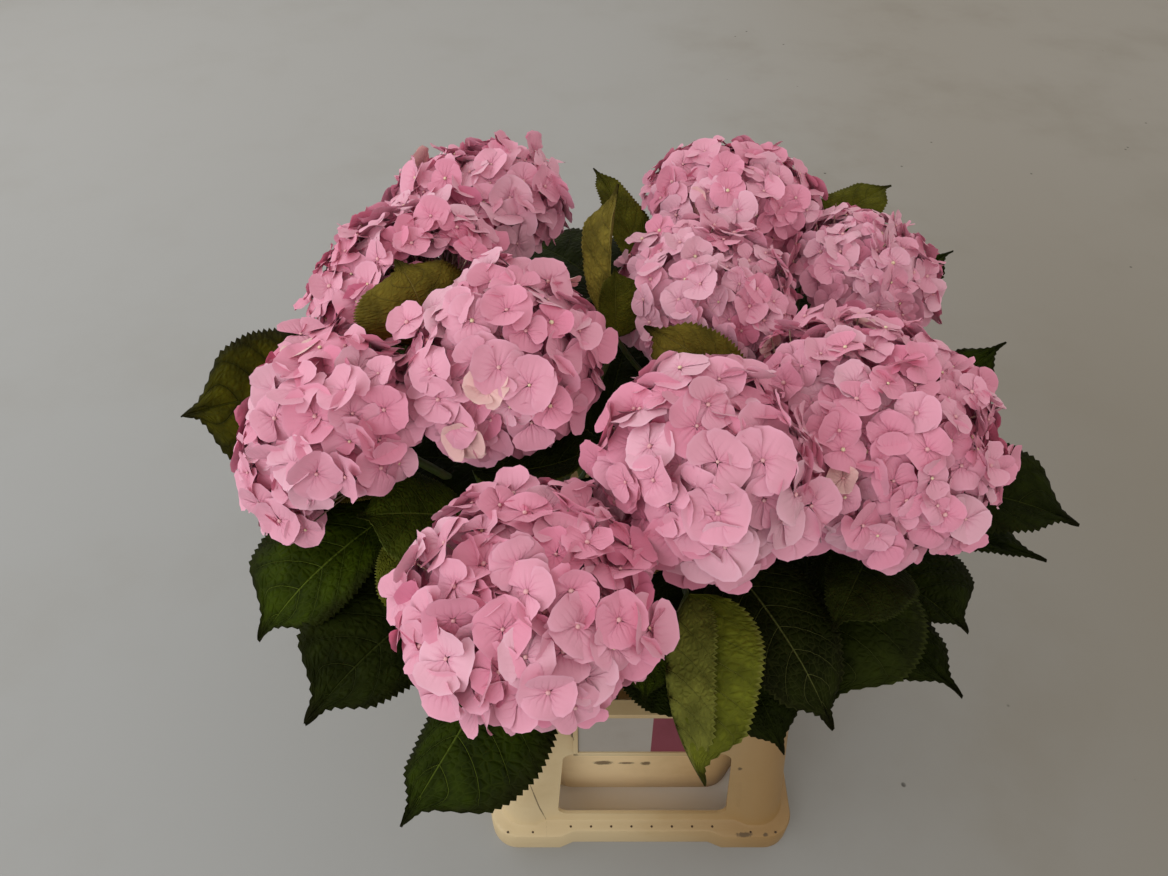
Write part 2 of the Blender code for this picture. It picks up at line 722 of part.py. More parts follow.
def make_bloom(number, head, obstacles, finish):
    """The head: a core on a short stalk, with the florets standing out of it."""
    top = stem_curve(head)[2]
    axis = head_axis(head)
    stalk = tube([top + axis * GAP, head_centre(head)], [STEM_RADIUS] * 2, STEM_SIDES)
    pieces = [object_from(core_mesh(head), "core"), object_from(stalk, "stalk")]
    pieces += head_florets(number, head, obstacles)
    return fused(pieces, f"bloom_{number:02d}", finish)


def main():
    clear_scene()
    cream = material("cream_plastic", CREAM, 0.45)
    make_bucket(cream)
    make_skirt(material("cream_plastic_skirt", CREAM, 0.45))
    make_label_card(material("label_card", CARD_WHITE, 0.6))
    chosen = choose_leaves()
    obstacles = []
    for number, head in HEADS.items():
        tag = f"{number:02d}"
        make_stem(number, head, material("stem_" + tag, STEM_GREEN, 0.5))
        leaves = make_leaves(number, head, chosen[number], material("leaves_" + tag, GREEN, 0.5))
        bm = bmesh.new()
        bm.from_mesh(leaves.data)
        obstacles.append(tree_of(bm))
        bm.free()
    for number, head in HEADS.items():
        make_bloom(number, head, obstacles, material(f"bloom_{number:02d}", PINK, 0.6))


main()
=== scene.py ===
"""Dresses ten cut mophead hydrangea stems and their flower container with finished surfaces.

The file is laid out as a Blender add-on and is run as a script. Lengths are metres, +Z is up, the
container stands on z = 0 and its front, with the label card, faces -Y.
"""

import json
import math
import random
from collections import namedtuple

import bmesh
import bpy
import numpy as np
from mathutils import Matrix, Vector
from mathutils.kdtree import KDTree

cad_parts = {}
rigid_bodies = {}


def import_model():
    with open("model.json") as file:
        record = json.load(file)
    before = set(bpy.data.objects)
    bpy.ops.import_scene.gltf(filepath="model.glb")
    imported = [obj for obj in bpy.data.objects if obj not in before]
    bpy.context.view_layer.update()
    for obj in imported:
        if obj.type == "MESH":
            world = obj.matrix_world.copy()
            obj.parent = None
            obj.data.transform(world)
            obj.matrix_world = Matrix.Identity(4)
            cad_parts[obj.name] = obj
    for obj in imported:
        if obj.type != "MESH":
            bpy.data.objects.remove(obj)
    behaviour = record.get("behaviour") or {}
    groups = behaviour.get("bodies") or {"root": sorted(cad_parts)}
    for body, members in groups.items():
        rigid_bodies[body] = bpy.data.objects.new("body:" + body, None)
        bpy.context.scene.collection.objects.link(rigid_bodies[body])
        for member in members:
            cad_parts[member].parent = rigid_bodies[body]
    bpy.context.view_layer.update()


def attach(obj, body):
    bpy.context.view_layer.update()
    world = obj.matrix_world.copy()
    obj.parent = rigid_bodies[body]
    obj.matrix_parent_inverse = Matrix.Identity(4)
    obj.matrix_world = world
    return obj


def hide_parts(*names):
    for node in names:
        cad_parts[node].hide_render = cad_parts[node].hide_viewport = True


bl_info = {
    "name": "Hydrangea stems in a container",
    "version": (1, 0, 0),
    "blender": (4, 5, 0),
    "location": "View3D > Sidebar > Hydrangea",
    "description": "Models the petals, leaves, stems and container of a bunch of hydrangeas",
    "category": "Add Mesh",
}

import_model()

UP = Vector((0, 0, 1))
GAP = 0.0003
SEED = 27
GOLDEN_ANGLE = math.radians(137.508)

Head = namedtuple("Head", "x y z width depth lean_x lean_y petal tint cream")
Leaf = namedtuple("Leaf", "stem node base tip width tone bow droop arch roll fold shares full sway",
                  defaults=("dark", 0.06, 0.03, 14, 0, (8, 8), (1, 1), 0, 0))
Tone = namedtuple("Tone", "upper vein under clarity fringe shade", defaults=(0.7, 0.05, 0.65))

# Each flower head: its centre, its half width and half depth, how its axis leans from upright, the
# radius of its flowers, how far their pink leans to the deep side and the share of cream ones.
HEADS = {
    1: Head(-0.168, 0.181, 0.542, 0.096, 0.066, -0.26, 0.21, 0.0205, 0.13, 0.02),
    2: Head(-0.210, 0.050, 0.560, 0.089, 0.062, -0.32, 0.05, 0.0190, 0.36, 0.0),
    3: Head(-0.252, -0.070, 0.520, 0.100, 0.067, -0.90, -0.15, 0.0220, 0.36, 0.03),
    4: Head(-0.129, -0.048, 0.561, 0.086, 0.072, -0.20, -0.04, 0.0205, 0.34, 0.012),
    5: Head(0.085, 0.208, 0.535, 0.090, 0.064, 0.15, 0.24, 0.0185, 0.40, 0.03),
    6: Head(0.040, 0.055, 0.538, 0.083, 0.069, 0.08, 0.07, 0.0160, 0.04, 0.0),
    7: Head(0.197, 0.127, 0.510, 0.079, 0.062, 0.38, 0.16, 0.0165, 0.08, 0.0),
    8: Head(0.156, -0.083, 0.517, 0.112, 0.080, 0.30, -0.12, 0.0175, 0.46, 0.05),
    9: Head(0.021, -0.150, 0.550, 0.080, 0.078, 0.05, -0.17, 0.0215, 0.34, 0.0),
    10: Head(-0.096, -0.239, 0.530, 0.089, 0.055, 0.0, 0.0, 0.0205, 0.38, 0.0),
}

# Each leaf: its stem, the height of its node, the two ends and the width of its blade and its tone.
# Where it differs from the common leaf, then how far the blade bows and its tip droops as shares of
# its length, how many degrees its halves arch down, it is rolled and its far and near halves are
# folded up, the shares of the width that these halves have, how far its widest place lies toward
# the tip, and how far it bends sideways.
LEAVES = (
    Leaf(3, 0.42, (-0.260, 0.030, 0.445), (-0.405, -0.025, 0.490), 0.140, "bronze", droop=0.05, arch=20,
         roll=25),
    Leaf(3, 0.40, (-0.205, -0.090, 0.450), (-0.312, -0.208, 0.430), 0.100, "green", bow=0.08, droop=0.05,
         arch=18, shares=(1.25, 0.8), full=0.45),
    Leaf(3, 0.42, (-0.225, -0.068, 0.450), (-0.288, -0.090, 0.455), 0.044, "tan", droop=0.02, arch=16,
         fold=(10, 10)),
    Leaf(10, 0.40, (-0.159, -0.138, 0.410), (-0.261, -0.273, 0.430), 0.118, droop=0.04, roll=8, fold=(6, 6),
         shares=(1.06, 0.74), full=0.2),
    Leaf(10, 0.42, (-0.115, -0.217, 0.448), (-0.183, -0.346, 0.430), 0.105, "mid", bow=0.10, droop=0.04,
         arch=12, roll=-8, fold=(-12, 4), shares=(0.62, 1.25), full=0.12, sway=-0.05),
    Leaf(10, 0.42, (-0.203, -0.121, 0.458), (-0.208, -0.204, 0.450), 0.066, "lime", bow=0.04, droop=0.04,
         fold=(10, 10), shares=(0.5, 1.1)),
    Leaf(10, 0.44, (-0.146, -0.130, 0.474), (-0.231, -0.149, 0.504), 0.082, "fringed", bow=0.05, arch=16,
         shares=(1.1, 1.1), full=0.45),
    Leaf(10, 0.44, (-0.150, -0.093, 0.490), (-0.042, -0.098, 0.535), 0.060, "edged", bow=-0.12, droop=-0.04,
         arch=10, fold=(20, 10)),
    Leaf(2, 0.45, (-0.185, -0.022, 0.562), (-0.199, -0.004, 0.626), 0.100, "tan", bow=0.10, droop=0.20,
         arch=46, fold=(6, 6), full=0.15),
    Leaf(4, 0.44, (-0.037, 0.015, 0.525), (-0.034, 0.117, 0.621), 0.050, "straw", bow=0.04, arch=10, roll=60,
         fold=(30, 30), shares=(0.45, 1.2), full=0.8, sway=-0.085),
    Leaf(6, 0.44, (-0.036, 0.012, 0.539), (-0.037, 0.053, 0.579), 0.040, "olive", bow=0.05, droop=0.02,
         arch=16, fold=(10, 10), shares=(1.4, 0.7)),
    Leaf(1, 0.45, (-0.003, 0.157, 0.505), (-0.052, 0.268, 0.550), 0.060, "olive", bow=0.05, arch=16,
         fold=(10, 10), shares=(0.8, 0.65), full=-0.3),
    Leaf(9, 0.43, (0.078, -0.070, 0.520), (-0.014, -0.020, 0.580), 0.100, "tan", bow=0.08, arch=16, roll=35,
         shares=(0.5, 0.75), full=0.2),
    Leaf(7, 0.42, (0.162, 0.200, 0.500), (0.251, 0.252, 0.540), 0.062, "olive", bow=0.05, arch=16),
    Leaf(7, 0.41, (0.200, 0.137, 0.435), (0.309, 0.192, 0.502), 0.064, "mid", bow=0.05, arch=16),
    Leaf(8, 0.42, (0.190, -0.030, 0.440), (0.303, 0.030, 0.520), 0.058, "mid", bow=0.05, arch=16),
    Leaf(8, 0.41, (0.190, -0.050, 0.425), (0.344, -0.110, 0.450), 0.105, droop=0.05, roll=-12, fold=(6, 6),
         shares=(0.72, 1.15)),
    Leaf(8, 0.37, (0.170, -0.060, 0.375), (0.333, -0.115, 0.402), 0.080, arch=16, fold=(6, 6),
         shares=(0.4, 1)),
    Leaf(8, 0.38, (0.168, -0.108, 0.398), (0.238, -0.194, 0.415), 0.068, arch=16, fold=(6, 6),
         shares=(0.6, 1.6), full=0.3),
    Leaf(8, 0.35, (0.130, -0.110, 0.365), (0.225, -0.239, 0.400), 0.075, arch=16, fold=(6, 6)),
    Leaf(8, 0.41, (0.145, -0.120, 0.425), (0.112, -0.262, 0.420), 0.115, "deep", bow=0.08, fold=(6, 6),
         shares=(0.45, 1.22), full=0.12),
    Leaf(8, 0.43, (0.165, -0.140, 0.445), (0.112, -0.230, 0.480), 0.088, "deep", bow=0.03, fold=(6, 6),
         shares=(0.55, 1), full=-0.3),
    Leaf(9, 0.42, (0.055, -0.160, 0.450), (0.114, -0.280, 0.432), 0.105, "veined", bow=0.08, droop=0.06,
         fold=(6, 6), shares=(0.95, 0.85), full=-0.25),
    Leaf(9, 0.44, (0.012, -0.200, 0.475), (0.018, -0.324, 0.440), 0.100, "lime", bow=0.10, droop=0.06,
         arch=6, fold=(166, 6), shares=(0.70, 1.34), full=-0.12, sway=0.17),
    Leaf(10, 0.42, (-0.010, -0.195, 0.445), (-0.020, -0.265, 0.440), 0.050, "fresh", droop=0.02, arch=16,
         fold=(10, 10)),
    Leaf(10, 0.39, (-0.015, -0.180, 0.405), (0.014, -0.270, 0.405), 0.075, bow=0.08, droop=0.04, arch=16,
         fold=(10, 10)),
    Leaf(9, 0.37, (0.050, -0.185, 0.385), (0.088, -0.275, 0.382), 0.065, bow=0.08, droop=0.10, arch=16,
         fold=(10, 10)),
    Leaf(1, 0.41, (-0.130, 0.200, 0.430), (-0.150, 0.345, 0.420), 0.100, "mid", bow=0.08, droop=0.04),
    Leaf(1, 0.41, (-0.165, 0.155, 0.425), (-0.290, 0.235, 0.420), 0.095, bow=0.08, droop=0.04),
    Leaf(2, 0.39, (-0.165, 0.055, 0.410), (-0.325, 0.090, 0.400), 0.105, bow=0.08, droop=0.04),
    Leaf(3, 0.37, (-0.195, -0.050, 0.385), (-0.335, -0.060, 0.365), 0.095, bow=0.08, droop=0.04),
    Leaf(5, 0.41, (0.065, 0.210, 0.430), (0.045, 0.355, 0.420), 0.095, "mid", bow=0.08, droop=0.04),
    Leaf(5, 0.40, (0.135, 0.175, 0.425), (0.235, 0.280, 0.425), 0.090, bow=0.08, droop=0.04),
    Leaf(7, 0.37, (0.170, 0.085, 0.385), (0.300, 0.092, 0.375), 0.090, bow=0.08, droop=0.04),
    Leaf(7, 0.39, (0.165, 0.150, 0.405), (0.225, 0.270, 0.395), 0.085, "mid", bow=0.08, droop=0.04),
    Leaf(1, 0.40, (-0.020, 0.170, 0.450), (-0.135, 0.315, 0.430), 0.130),
    Leaf(4, 0.40, (-0.120, -0.036, 0.425), (-0.245, -0.030, 0.435), 0.115),
    Leaf(4, 0.39, (-0.050, -0.010, 0.425), (-0.010, 0.150, 0.450), 0.100),
    Leaf(9, 0.40, (0.030, -0.100, 0.425), (-0.070, -0.060, 0.440), 0.085),
    Leaf(9, 0.41, (0.060, -0.100, 0.430), (0.120, -0.010, 0.445), 0.085),
    Leaf(4, 0.38, (-0.150, -0.085, 0.395), (-0.262, -0.168, 0.395), 0.095, bow=0.04),
    Leaf(9, 0.40, (0.015, -0.138, 0.418), (0.020, -0.240, 0.425), 0.090, bow=0.04),
    Leaf(6, 0.41, (0.055, 0.065, 0.428), (0.130, 0.140, 0.435), 0.085, bow=0.04),
    Leaf(8, 0.38, (0.138, -0.080, 0.395), (0.112, -0.180, 0.398), 0.090, bow=0.04),
    Leaf(1, 0.40, (-0.165, 0.125, 0.412), (-0.310, 0.150, 0.410), 0.090, bow=0.04),
)

# Lower leaves that stand crosswise on the stems: for each stem, which pair and which of the two.
PAIR_NODES = (0.365, 0.405)
PAIR_OPPOSITE = 172
PAIR_TURN = 50
PAIR_LENGTH = 0.120
PAIR_WIDTH = 0.078
PAIR_PETIOLE = 0.030
PAIR_RISE = 0.012
PAIR_BOW = 0.10
PAIR_DROOP = 0.04
PAIR_TONES = ("dark", "mid")
PAIR_TURN_BACK = {10: 165}
LOWER_LEAVES = {
    1: ((0, 0), (0, 1), (1, 1)),
    3: ((1, 0),),
    4: ((0, 1), (1, 1)),
    5: ((0, 0),),
    6: ((0, 0), (1, 1)),
    7: ((1, 1),),
    10: ((0, 0),),
}

# The leaves of each tone: upper side, veins and under side, how clear the veins are, how pale the
# margin is, and how far the blade darkens inside the margin and, as painted shade, in its hollows.
LEAF_TONES = {
    "edged": Tone((0.012, 0.016, 0.0015), (0.100, 0.110, 0.020), (0.090, 0.080, 0.015), 0.7, 0.65, 0),
    "fringed": Tone((0.036, 0.050, 0.0040), (0.120, 0.150, 0.025), (0.090, 0.080, 0.015), 0.7, 0.8, 0.2),
    # The pale margins of the dark, deep and veined tones are painted highlight along the edges of shaded
    # leaves.
    "dark": Tone((0.0100, 0.0142, 0.0014), (0.034, 0.044, 0.008), (0.040, 0.055, 0.012), 0.7, 0.2, 0.35),
    "deep": Tone((0.0135, 0.0185, 0.0022), (0.060, 0.075, 0.016), (0.040, 0.055, 0.012), 0.7, 0.45, 0.25),
    "veined": Tone((0.0085, 0.0115, 0.0012), (0.095, 0.105, 0.030), (0.040, 0.055, 0.012), 0.9, 0.3, 0.35),
    "mid": Tone((0.0150, 0.0240, 0.0010), (0.075, 0.105, 0.012), (0.055, 0.080, 0.014), 0.9),
    "green": Tone((0.0220, 0.0350, 0.0012), (0.090, 0.125, 0.014), (0.060, 0.085, 0.016), 0.9),
    "bronze": Tone((0.044, 0.042, 0.0020), (0.026, 0.030, 0.004), (0.060, 0.065, 0.012)),
    "fresh": Tone((0.036, 0.052, 0.0035), (0.085, 0.110, 0.018), (0.075, 0.100, 0.018)),
    "olive": Tone((0.075, 0.075, 0.0070), (0.150, 0.145, 0.028), (0.100, 0.105, 0.022), 0.7, 0.55, 0),
    "tan": Tone((0.120, 0.092, 0.0130), (0.200, 0.160, 0.040), (0.120, 0.110, 0.024), 0.7, 0.55, 0),
    # A paler copy of tan, painted light for a steep leaf that the light only grazes.
    "straw": Tone((0.180, 0.145, 0.0240), (0.260, 0.220, 0.060), (0.150, 0.140, 0.030), 0.7, 0.55, 0),
    "lime": Tone((0.095, 0.105, 0.0100), (0.190, 0.195, 0.042), (0.130, 0.135, 0.024), 0.7, 0.65, 0),
}

# Pinks of the petals from the deepest to the palest, the last one cream.
PETAL_TINTS = (
    (0.66, 0.185, 0.305, 1),
    (0.74, 0.240, 0.370, 1),
    (0.77, 0.295, 0.425, 1),
    (0.78, 0.350, 0.475, 1),
    (0.79, 0.415, 0.530, 1),
    (0.82, 0.510, 0.500, 1),
)


# ---- settings ----


class ContainerSettings(bpy.types.PropertyGroup):
    height: bpy.props.FloatProperty(name="Height", description="Height of the container",
                                    default=0.255, unit="LENGTH")
    foot_half: bpy.props.FloatVectorProperty(name="Foot half size", size=2, unit="LENGTH",
                                             description="Half size of the foot band along X and Y",
                                             default=(0.165, 0.220))
    corner: bpy.props.FloatProperty(name="Corner radius", description="Radius of the upright corners",
                                    default=0.030, unit="LENGTH")
    plastic: bpy.props.FloatProperty(name="Wall", description="Thickness of the plastic",
                                     default=0.0035, unit="LENGTH")
    cream: bpy.props.FloatVectorProperty(name="Plastic", description="Colour of the plastic",
                                         subtype="COLOR", size=4, default=(0.62, 0.49, 0.29, 1),
                                         min=0, max=1)


class StemSettings(bpy.types.PropertyGroup):
    foot_radius: bpy.props.FloatProperty(name="Foot radius", description="Stem radius at its cut foot",
                                         default=0.0046, unit="LENGTH")
    radius: bpy.props.FloatProperty(name="Radius", description="Stem radius under the flower head",
                                    default=0.0038, unit="LENGTH")
    petiole_radius: bpy.props.FloatProperty(name="Leaf stalk radius", default=0.0024, unit="LENGTH",
                                            description="Radius of a leaf stalk at the stem")
    green: bpy.props.FloatVectorProperty(name="Stem", description="Colour of the stems",
                                         subtype="COLOR", size=4, default=(0.060, 0.085, 0.020, 1),
                                         min=0, max=1)


class LeafSettings(bpy.types.PropertyGroup):
    thickness: bpy.props.FloatProperty(name="Thickness", description="Thickness of a blade",
                                       default=0.0005, unit="LENGTH")
    teeth: bpy.props.IntProperty(name="Teeth", description="Teeth along each margin", default=34)
    vein_pairs: bpy.props.FloatProperty(name="Vein pairs", description="Side veins of each half",
                                        default=7.0)
    quilting: bpy.props.FloatProperty(name="Quilting", default=0.0024, unit="LENGTH",
                                      description="How far the blade swells between its veins")


class BloomSettings(bpy.types.PropertyGroup):
    cover: bpy.props.FloatProperty(name="Cover", default=2.9,
                                   description="How many times the outer flowers cover the head")
    inner_share: bpy.props.FloatProperty(name="Inner flowers", default=0.60, subtype="FACTOR",
                                         description="Flowers of the inner layer to one of the outer")
    lowest: bpy.props.FloatProperty(name="Lowest", default=math.radians(110), subtype="ANGLE",
                                    description="How far down from the top of the head flowers grow")
    tilt: bpy.props.FloatProperty(name="Tilt", default=math.radians(29), subtype="ANGLE",
                                  description="How far a flower leans away from straight out")


class StageSettings(bpy.types.PropertyGroup):
    floor: bpy.props.FloatVectorProperty(name="Floor", description="Colour of the floor",
                                         subtype="COLOR", size=4, default=(0.34, 0.345, 0.345, 1),
                                         min=0, max=1)
    lens: bpy.props.FloatProperty(name="Lens", description="Focal length in millimetres",
                                  default=27.12)


class HydrangeaSettings(bpy.types.PropertyGroup):
    container: bpy.props.PointerProperty(type=ContainerSettings)
    stems: bpy.props.PointerProperty(type=StemSettings)
    leaves: bpy.props.PointerProperty(type=LeafSettings)
    blooms: bpy.props.PointerProperty(type=BloomSettings)
    stage: bpy.props.PointerProperty(type=StageSettings)


def settings():
    return bpy.context.scene.hydrangea


# ---- materials ----


class Nodes:
    """Adds and links the nodes of one tree."""

    def __init__(self, tree):
        self.tree = tree

    def add(self, kind, inputs=(), **values):
        node = self.tree.nodes.new(kind)
        for name, value in values.items():
            setattr(node, name, value)
        self.feed(node, dict(inputs))
        return node

    def feed(self, node, inputs):
        """Links a socket to each input that is given one, and sets the others."""
        for key, value in inputs.items():
            if isinstance(value, bpy.types.NodeSocket):
                self.tree.links.new(value, node.inputs[key])
            else:
                node.inputs[key].default_value = value

    def maths(self, operation, *values):
        return self.add("ShaderNodeMath", dict(enumerate(values)), operation=operation).outputs[0]

    def times(self, first, second):
        return self.maths("MULTIPLY", first, second)

    def times_plus(self, first, second, third):
        return self.maths("MULTIPLY_ADD", first, second, third)

    def split(self, vector):
        return self.add("ShaderNodeSeparateXYZ", {0: vector}).outputs

    def object_point(self):
        return self.add("ShaderNodeTexCoord").outputs["Object"]

    def ramp(self, value, low, high, to_low=0.0, to_high=1.0):
        """Goes smoothly from one value to another as the input goes from low to high."""
        ends = {"Value": value, "From Min": low, "From Max": high, "To Min": to_low, "To Max": to_high}
        return self.add("ShaderNodeMapRange", ends, interpolation_type="SMOOTHSTEP").outputs["Result"]

    def mix(self, share, first, second, blend="MIX"):
        node = self.add("ShaderNodeMix", data_type="RGBA", blend_type=blend)
        self.feed(node, {0: share, 6: first, 7: second})
        return node.outputs[2]

    def dimmed(self, colour, grey):
        """The colour multiplied by one value."""
        factor = self.add("ShaderNodeCombineColor", {0: grey, 1: grey, 2: grey}).outputs[0]
        return self.mix(1.0, colour, factor, "MULTIPLY")

    def noise(self, vector, scale, detail=3.0, roughness=0.55):
        given = {"Vector": vector, "Scale": scale, "Detail": detail, "Roughness": roughness}
        return self.add("ShaderNodeTexNoise", given).outputs[0]


def shader_group(name, inputs, outputs):
    """A new group with these (name, socket type, default) inputs and (name, type) outputs."""
    tree = bpy.data.node_groups.new(name, "ShaderNodeTree")
    for label, kind, default in inputs:
        socket = tree.interface.new_socket(label, in_out="INPUT", socket_type=kind)
        socket.default_value = default
    for label, kind in outputs:
        tree.interface.new_socket(label, in_out="OUTPUT", socket_type=kind)
    return tree, Nodes(tree), tree.nodes.new("NodeGroupInput"), tree.nodes.new("NodeGroupOutput")


FLOAT, COLOUR = "NodeSocketFloat", "NodeSocketColor"
WHITE = (1, 1, 1, 1)


def petal_markings():
    """Deeper streaks that fan out from the eye, faint veins and a paler rim, along the petal map."""
    tree, make, given, out = shader_group(
        "petal_markings", (("Tint", COLOUR, WHITE), ("Throat", COLOUR, WHITE), ("Rim", COLOUR, WHITE)),
        (("Color", COLOUR), ("Height", FLOAT)))
    place = make.add("ShaderNodeUVMap", uv_map="petal").outputs[0]
    from_left, along, _ = make.split(place)
    across = make.times_plus(from_left, 2.0, -1.0)
    off = make.maths("ABSOLUTE", across)
    wander = make.noise(place, 3.0, 2.0)
    fan = make.maths("SINE", make.times_plus(across, 21.0, make.times(wander, 3.0)))
    line = make.maths("POWER", make.times_plus(fan, 0.5, 0.5), 5.0)
    middle = make.ramp(off, 0.0, 0.10, 1.0, 0.0)
    throat = make.ramp(along, 0.05, make.times_plus(line, 0.20, 0.36), 1.0, 0.0)
    veins = make.times(make.maths("MAXIMUM", make.times(line, 0.5), middle),
                       make.ramp(along, 0.1, 0.95, 1.0, 0.0))
    from_middle = make.add("ShaderNodeVectorMath", {0: place, 1: (0.5, 0.5, 0.0)}, operation="DISTANCE")
    rim = make.ramp(from_middle.outputs["Value"], 0.36, 0.49)
    soft = make.times(rim, make.ramp(wander, 0.20, 0.60, 0.4, 1.0))
    body = make.mix(make.times(soft, 0.55), given.outputs["Tint"], given.outputs["Rim"])
    body = make.mix(make.times(veins, 0.11), body, given.outputs["Throat"])
    body = make.mix(make.times(throat, 0.42), body, given.outputs["Throat"])
    height = make.maths("SUBTRACT", make.times(wander, 0.7), make.times(veins, 0.6))
    make.feed(out, {"Color": body, "Height": height})
    return tree


TIP_BROWN = (0.010, 0.009, 0.003, 1)
VEIN_RISE = 0.28
VEIN_CURVE = 1.25


def leaf_markings():
    """Midrib, side veins, the fine net between them and mottling along the blade map, with painted shade in
    the hollows between the veins and round the puckers.
    """
    tree, make, given, out = shader_group(
        "leaf_markings", (("Blade", COLOUR, WHITE), ("Vein", COLOUR, WHITE), ("Pairs", FLOAT, 7.0),
                          ("Clarity", FLOAT, 0.5), ("Fringe", FLOAT, 0.5), ("Shade", FLOAT, 0.5)),
        (("Color", COLOUR), ("Height", FLOAT), ("Roughness", FLOAT)))
    place = make.add("ShaderNodeUVMap", uv_map="blade").outputs[0]
    from_left, along, _ = make.split(place)
    off = make.maths("ABSOLUTE", make.times_plus(from_left, 2.0, -1.0))
    spot = make.object_point()
    mottle = make.noise(spot, 45.0, 4.0)
    fine = make.noise(spot, 260.0, 3.0)
    rise = make.times(make.maths("POWER", off, VEIN_CURVE), VEIN_RISE)
    phase = make.times(make.maths("SUBTRACT", along, rise), given.outputs["Pairs"])
    swell = make.maths("ABSOLUTE", make.maths("SINE", make.times(phase, math.pi)))
    side = make.ramp(swell, 0.01, make.times_plus(off, -0.05, 0.10), 1.0, 0.0)
    side = make.times(side, make.ramp(off, 0.55, 1.0, 1.0, 0.15))
    midrib = make.ramp(off, 0.008, make.times_plus(along, -0.012, 0.032), 1.0, 0.0)
    stretched = make.add("ShaderNodeMapping", {"Vector": place, "Scale": (17.0, 26.0, 1.0)}).outputs[0]
    cells = make.add("ShaderNodeTexVoronoi", {"Vector": stretched, "Scale": 1.0, "Randomness": 0.9},
                     feature="DISTANCE_TO_EDGE").outputs[0]
    net = make.ramp(cells, 0.0, 0.10, 1.0, 0.0)
    puff = make.ramp(cells, 0.0, 0.38)
    veins = make.maths("MAXIMUM", midrib, side)
    seen = make.maths("MAXIMUM", veins, make.times(net, 0.12))
    shade = make.ramp(mottle, 0.30, 0.72, 0.66, 1.45)
    blade = make.dimmed(given.outputs["Blade"], shade)
    # Painted shade in the hollows beside the side veins and round the edges of the puckers.
    painted_hollow_shade = make.times(make.ramp(swell, 0.0, 0.8, -0.36, 0.12),
                        make.times_plus(given.outputs["Shade"], 1.2, 0.2))
    painted_hollow_shade = make.times(make.maths("ADD", painted_hollow_shade, 1.0), make.ramp(cells, 0.0, 0.30, 0.86, 1.06))
    blade = make.dimmed(blade, painted_hollow_shade)
    colour = make.mix(make.times(seen, given.outputs["Clarity"]), blade, given.outputs["Vein"])
    fringe = make.ramp(off, 0.93, 0.99, 0.0, given.outputs["Fringe"])
    colour = make.mix(fringe, colour, given.outputs["Vein"])
    margin = make.times(make.ramp(off, 0.62, 0.98), given.outputs["Shade"])
    brown = make.ramp(along, 0.86, 0.98, 0.0, 0.75)
    colour = make.mix(make.maths("MAXIMUM", margin, brown), colour, TIP_BROWN)
    raised = make.times_plus(puff, 0.4, make.times(fine, 0.15))
    height = make.maths("SUBTRACT", raised, make.times(veins, 0.7))
    rough = make.times_plus(fine, 0.20, 0.42)
    make.feed(out, {"Color": colour, "Height": height, "Roughness": rough})
    return tree


def grain():
    """Slow cloudiness, fine specks and a little relief for plain surfaces."""
    tree, make, given, out = shader_group(
        "grain", (("Base", COLOUR, WHITE), ("Stain", COLOUR, WHITE), ("Amount", FLOAT, 0.3),
                  ("Scale", FLOAT, 12.0), ("Fine", FLOAT, 400.0)),
        (("Color", COLOUR), ("Height", FLOAT), ("Mask", FLOAT)))
    spot = make.object_point()
    cloud = make.noise(spot, given.outputs["Scale"], 5.0, 0.6)
    specks = make.noise(spot, given.outputs["Fine"], 2.0)
    mask = make.ramp(cloud, 0.42, 0.75)
    colour = make.mix(make.times(mask, given.outputs["Amount"]), given.outputs["Base"],
                      given.outputs["Stain"])
    make.feed(out, {"Color": colour, "Height": specks, "Mask": mask})
    return tree


def built(maker):
    """The shader group of this name, made the first time that it is asked for."""
    return bpy.data.node_groups.get(maker.__name__) or maker()


def new_material(name, colour, roughness, specular=0.5):
    made = bpy.data.materials.new(name)
    made.diffuse_color = colour
    made.use_nodes = True
    make, shader = Nodes(made.node_tree), made.node_tree.nodes["Principled BSDF"]
    make.feed(shader, {"Base Color": colour, "Roughness": roughness, "Specular IOR Level": specular})
    return made, make, shader


def relief(make, shader, height, distance, strength=1.0):
    bump = make.add("ShaderNodeBump", {"Height": height, "Distance": distance, "Strength": strength})
    make.feed(shader, {"Normal": bump.outputs[0]})


PETAL_SHEEN = 0.15
PETAL_RELIEF = 0.0009
BLADE_RELIEF = 0.0020
THROAT_SHARE = (0.86, 0.52, 0.66)
RIM_SHARE = (1.05, 1.22, 1.20)
RIM_REDDEST = 0.92


def petal_material(index, tint):
    """One pink, deeper at the throat and paler at the rim."""
    made, make, shader = new_material(f"petal_{index}", tint, roughness=0.62, specular=0.25)
    throat = (*(part * share for part, share in zip(tint, THROAT_SHARE)), 1)
    rim = (*(min(part * share, RIM_REDDEST) for part, share in zip(tint, RIM_SHARE)), 1)
    marks = make.add("ShaderNodeGroup", {"Tint": tint, "Throat": throat, "Rim": rim},
                     node_tree=built(petal_markings)).outputs
    make.feed(shader, {"Base Color": marks["Color"], "Sheen Weight": PETAL_SHEEN})
    relief(make, shader, marks["Height"], PETAL_RELIEF, strength=0.8)
    return made


def leaf_material(name, blade, vein, clarity, fringe, shade, roughness):
    made, make, shader = new_material(name, blade, roughness, specular=0.03)
    given = {"Blade": blade, "Vein": vein, "Clarity": clarity, "Fringe": fringe, "Shade": shade,
             "Pairs": settings().leaves.vein_pairs}
    marks = make.add("ShaderNodeGroup", given, node_tree=built(leaf_markings)).outputs
    make.feed(shader, {"Base Color": marks["Color"], "Roughness": marks["Roughness"]})
    relief(make, shader, marks["Height"], BLADE_RELIEF, strength=0.9)
    return made


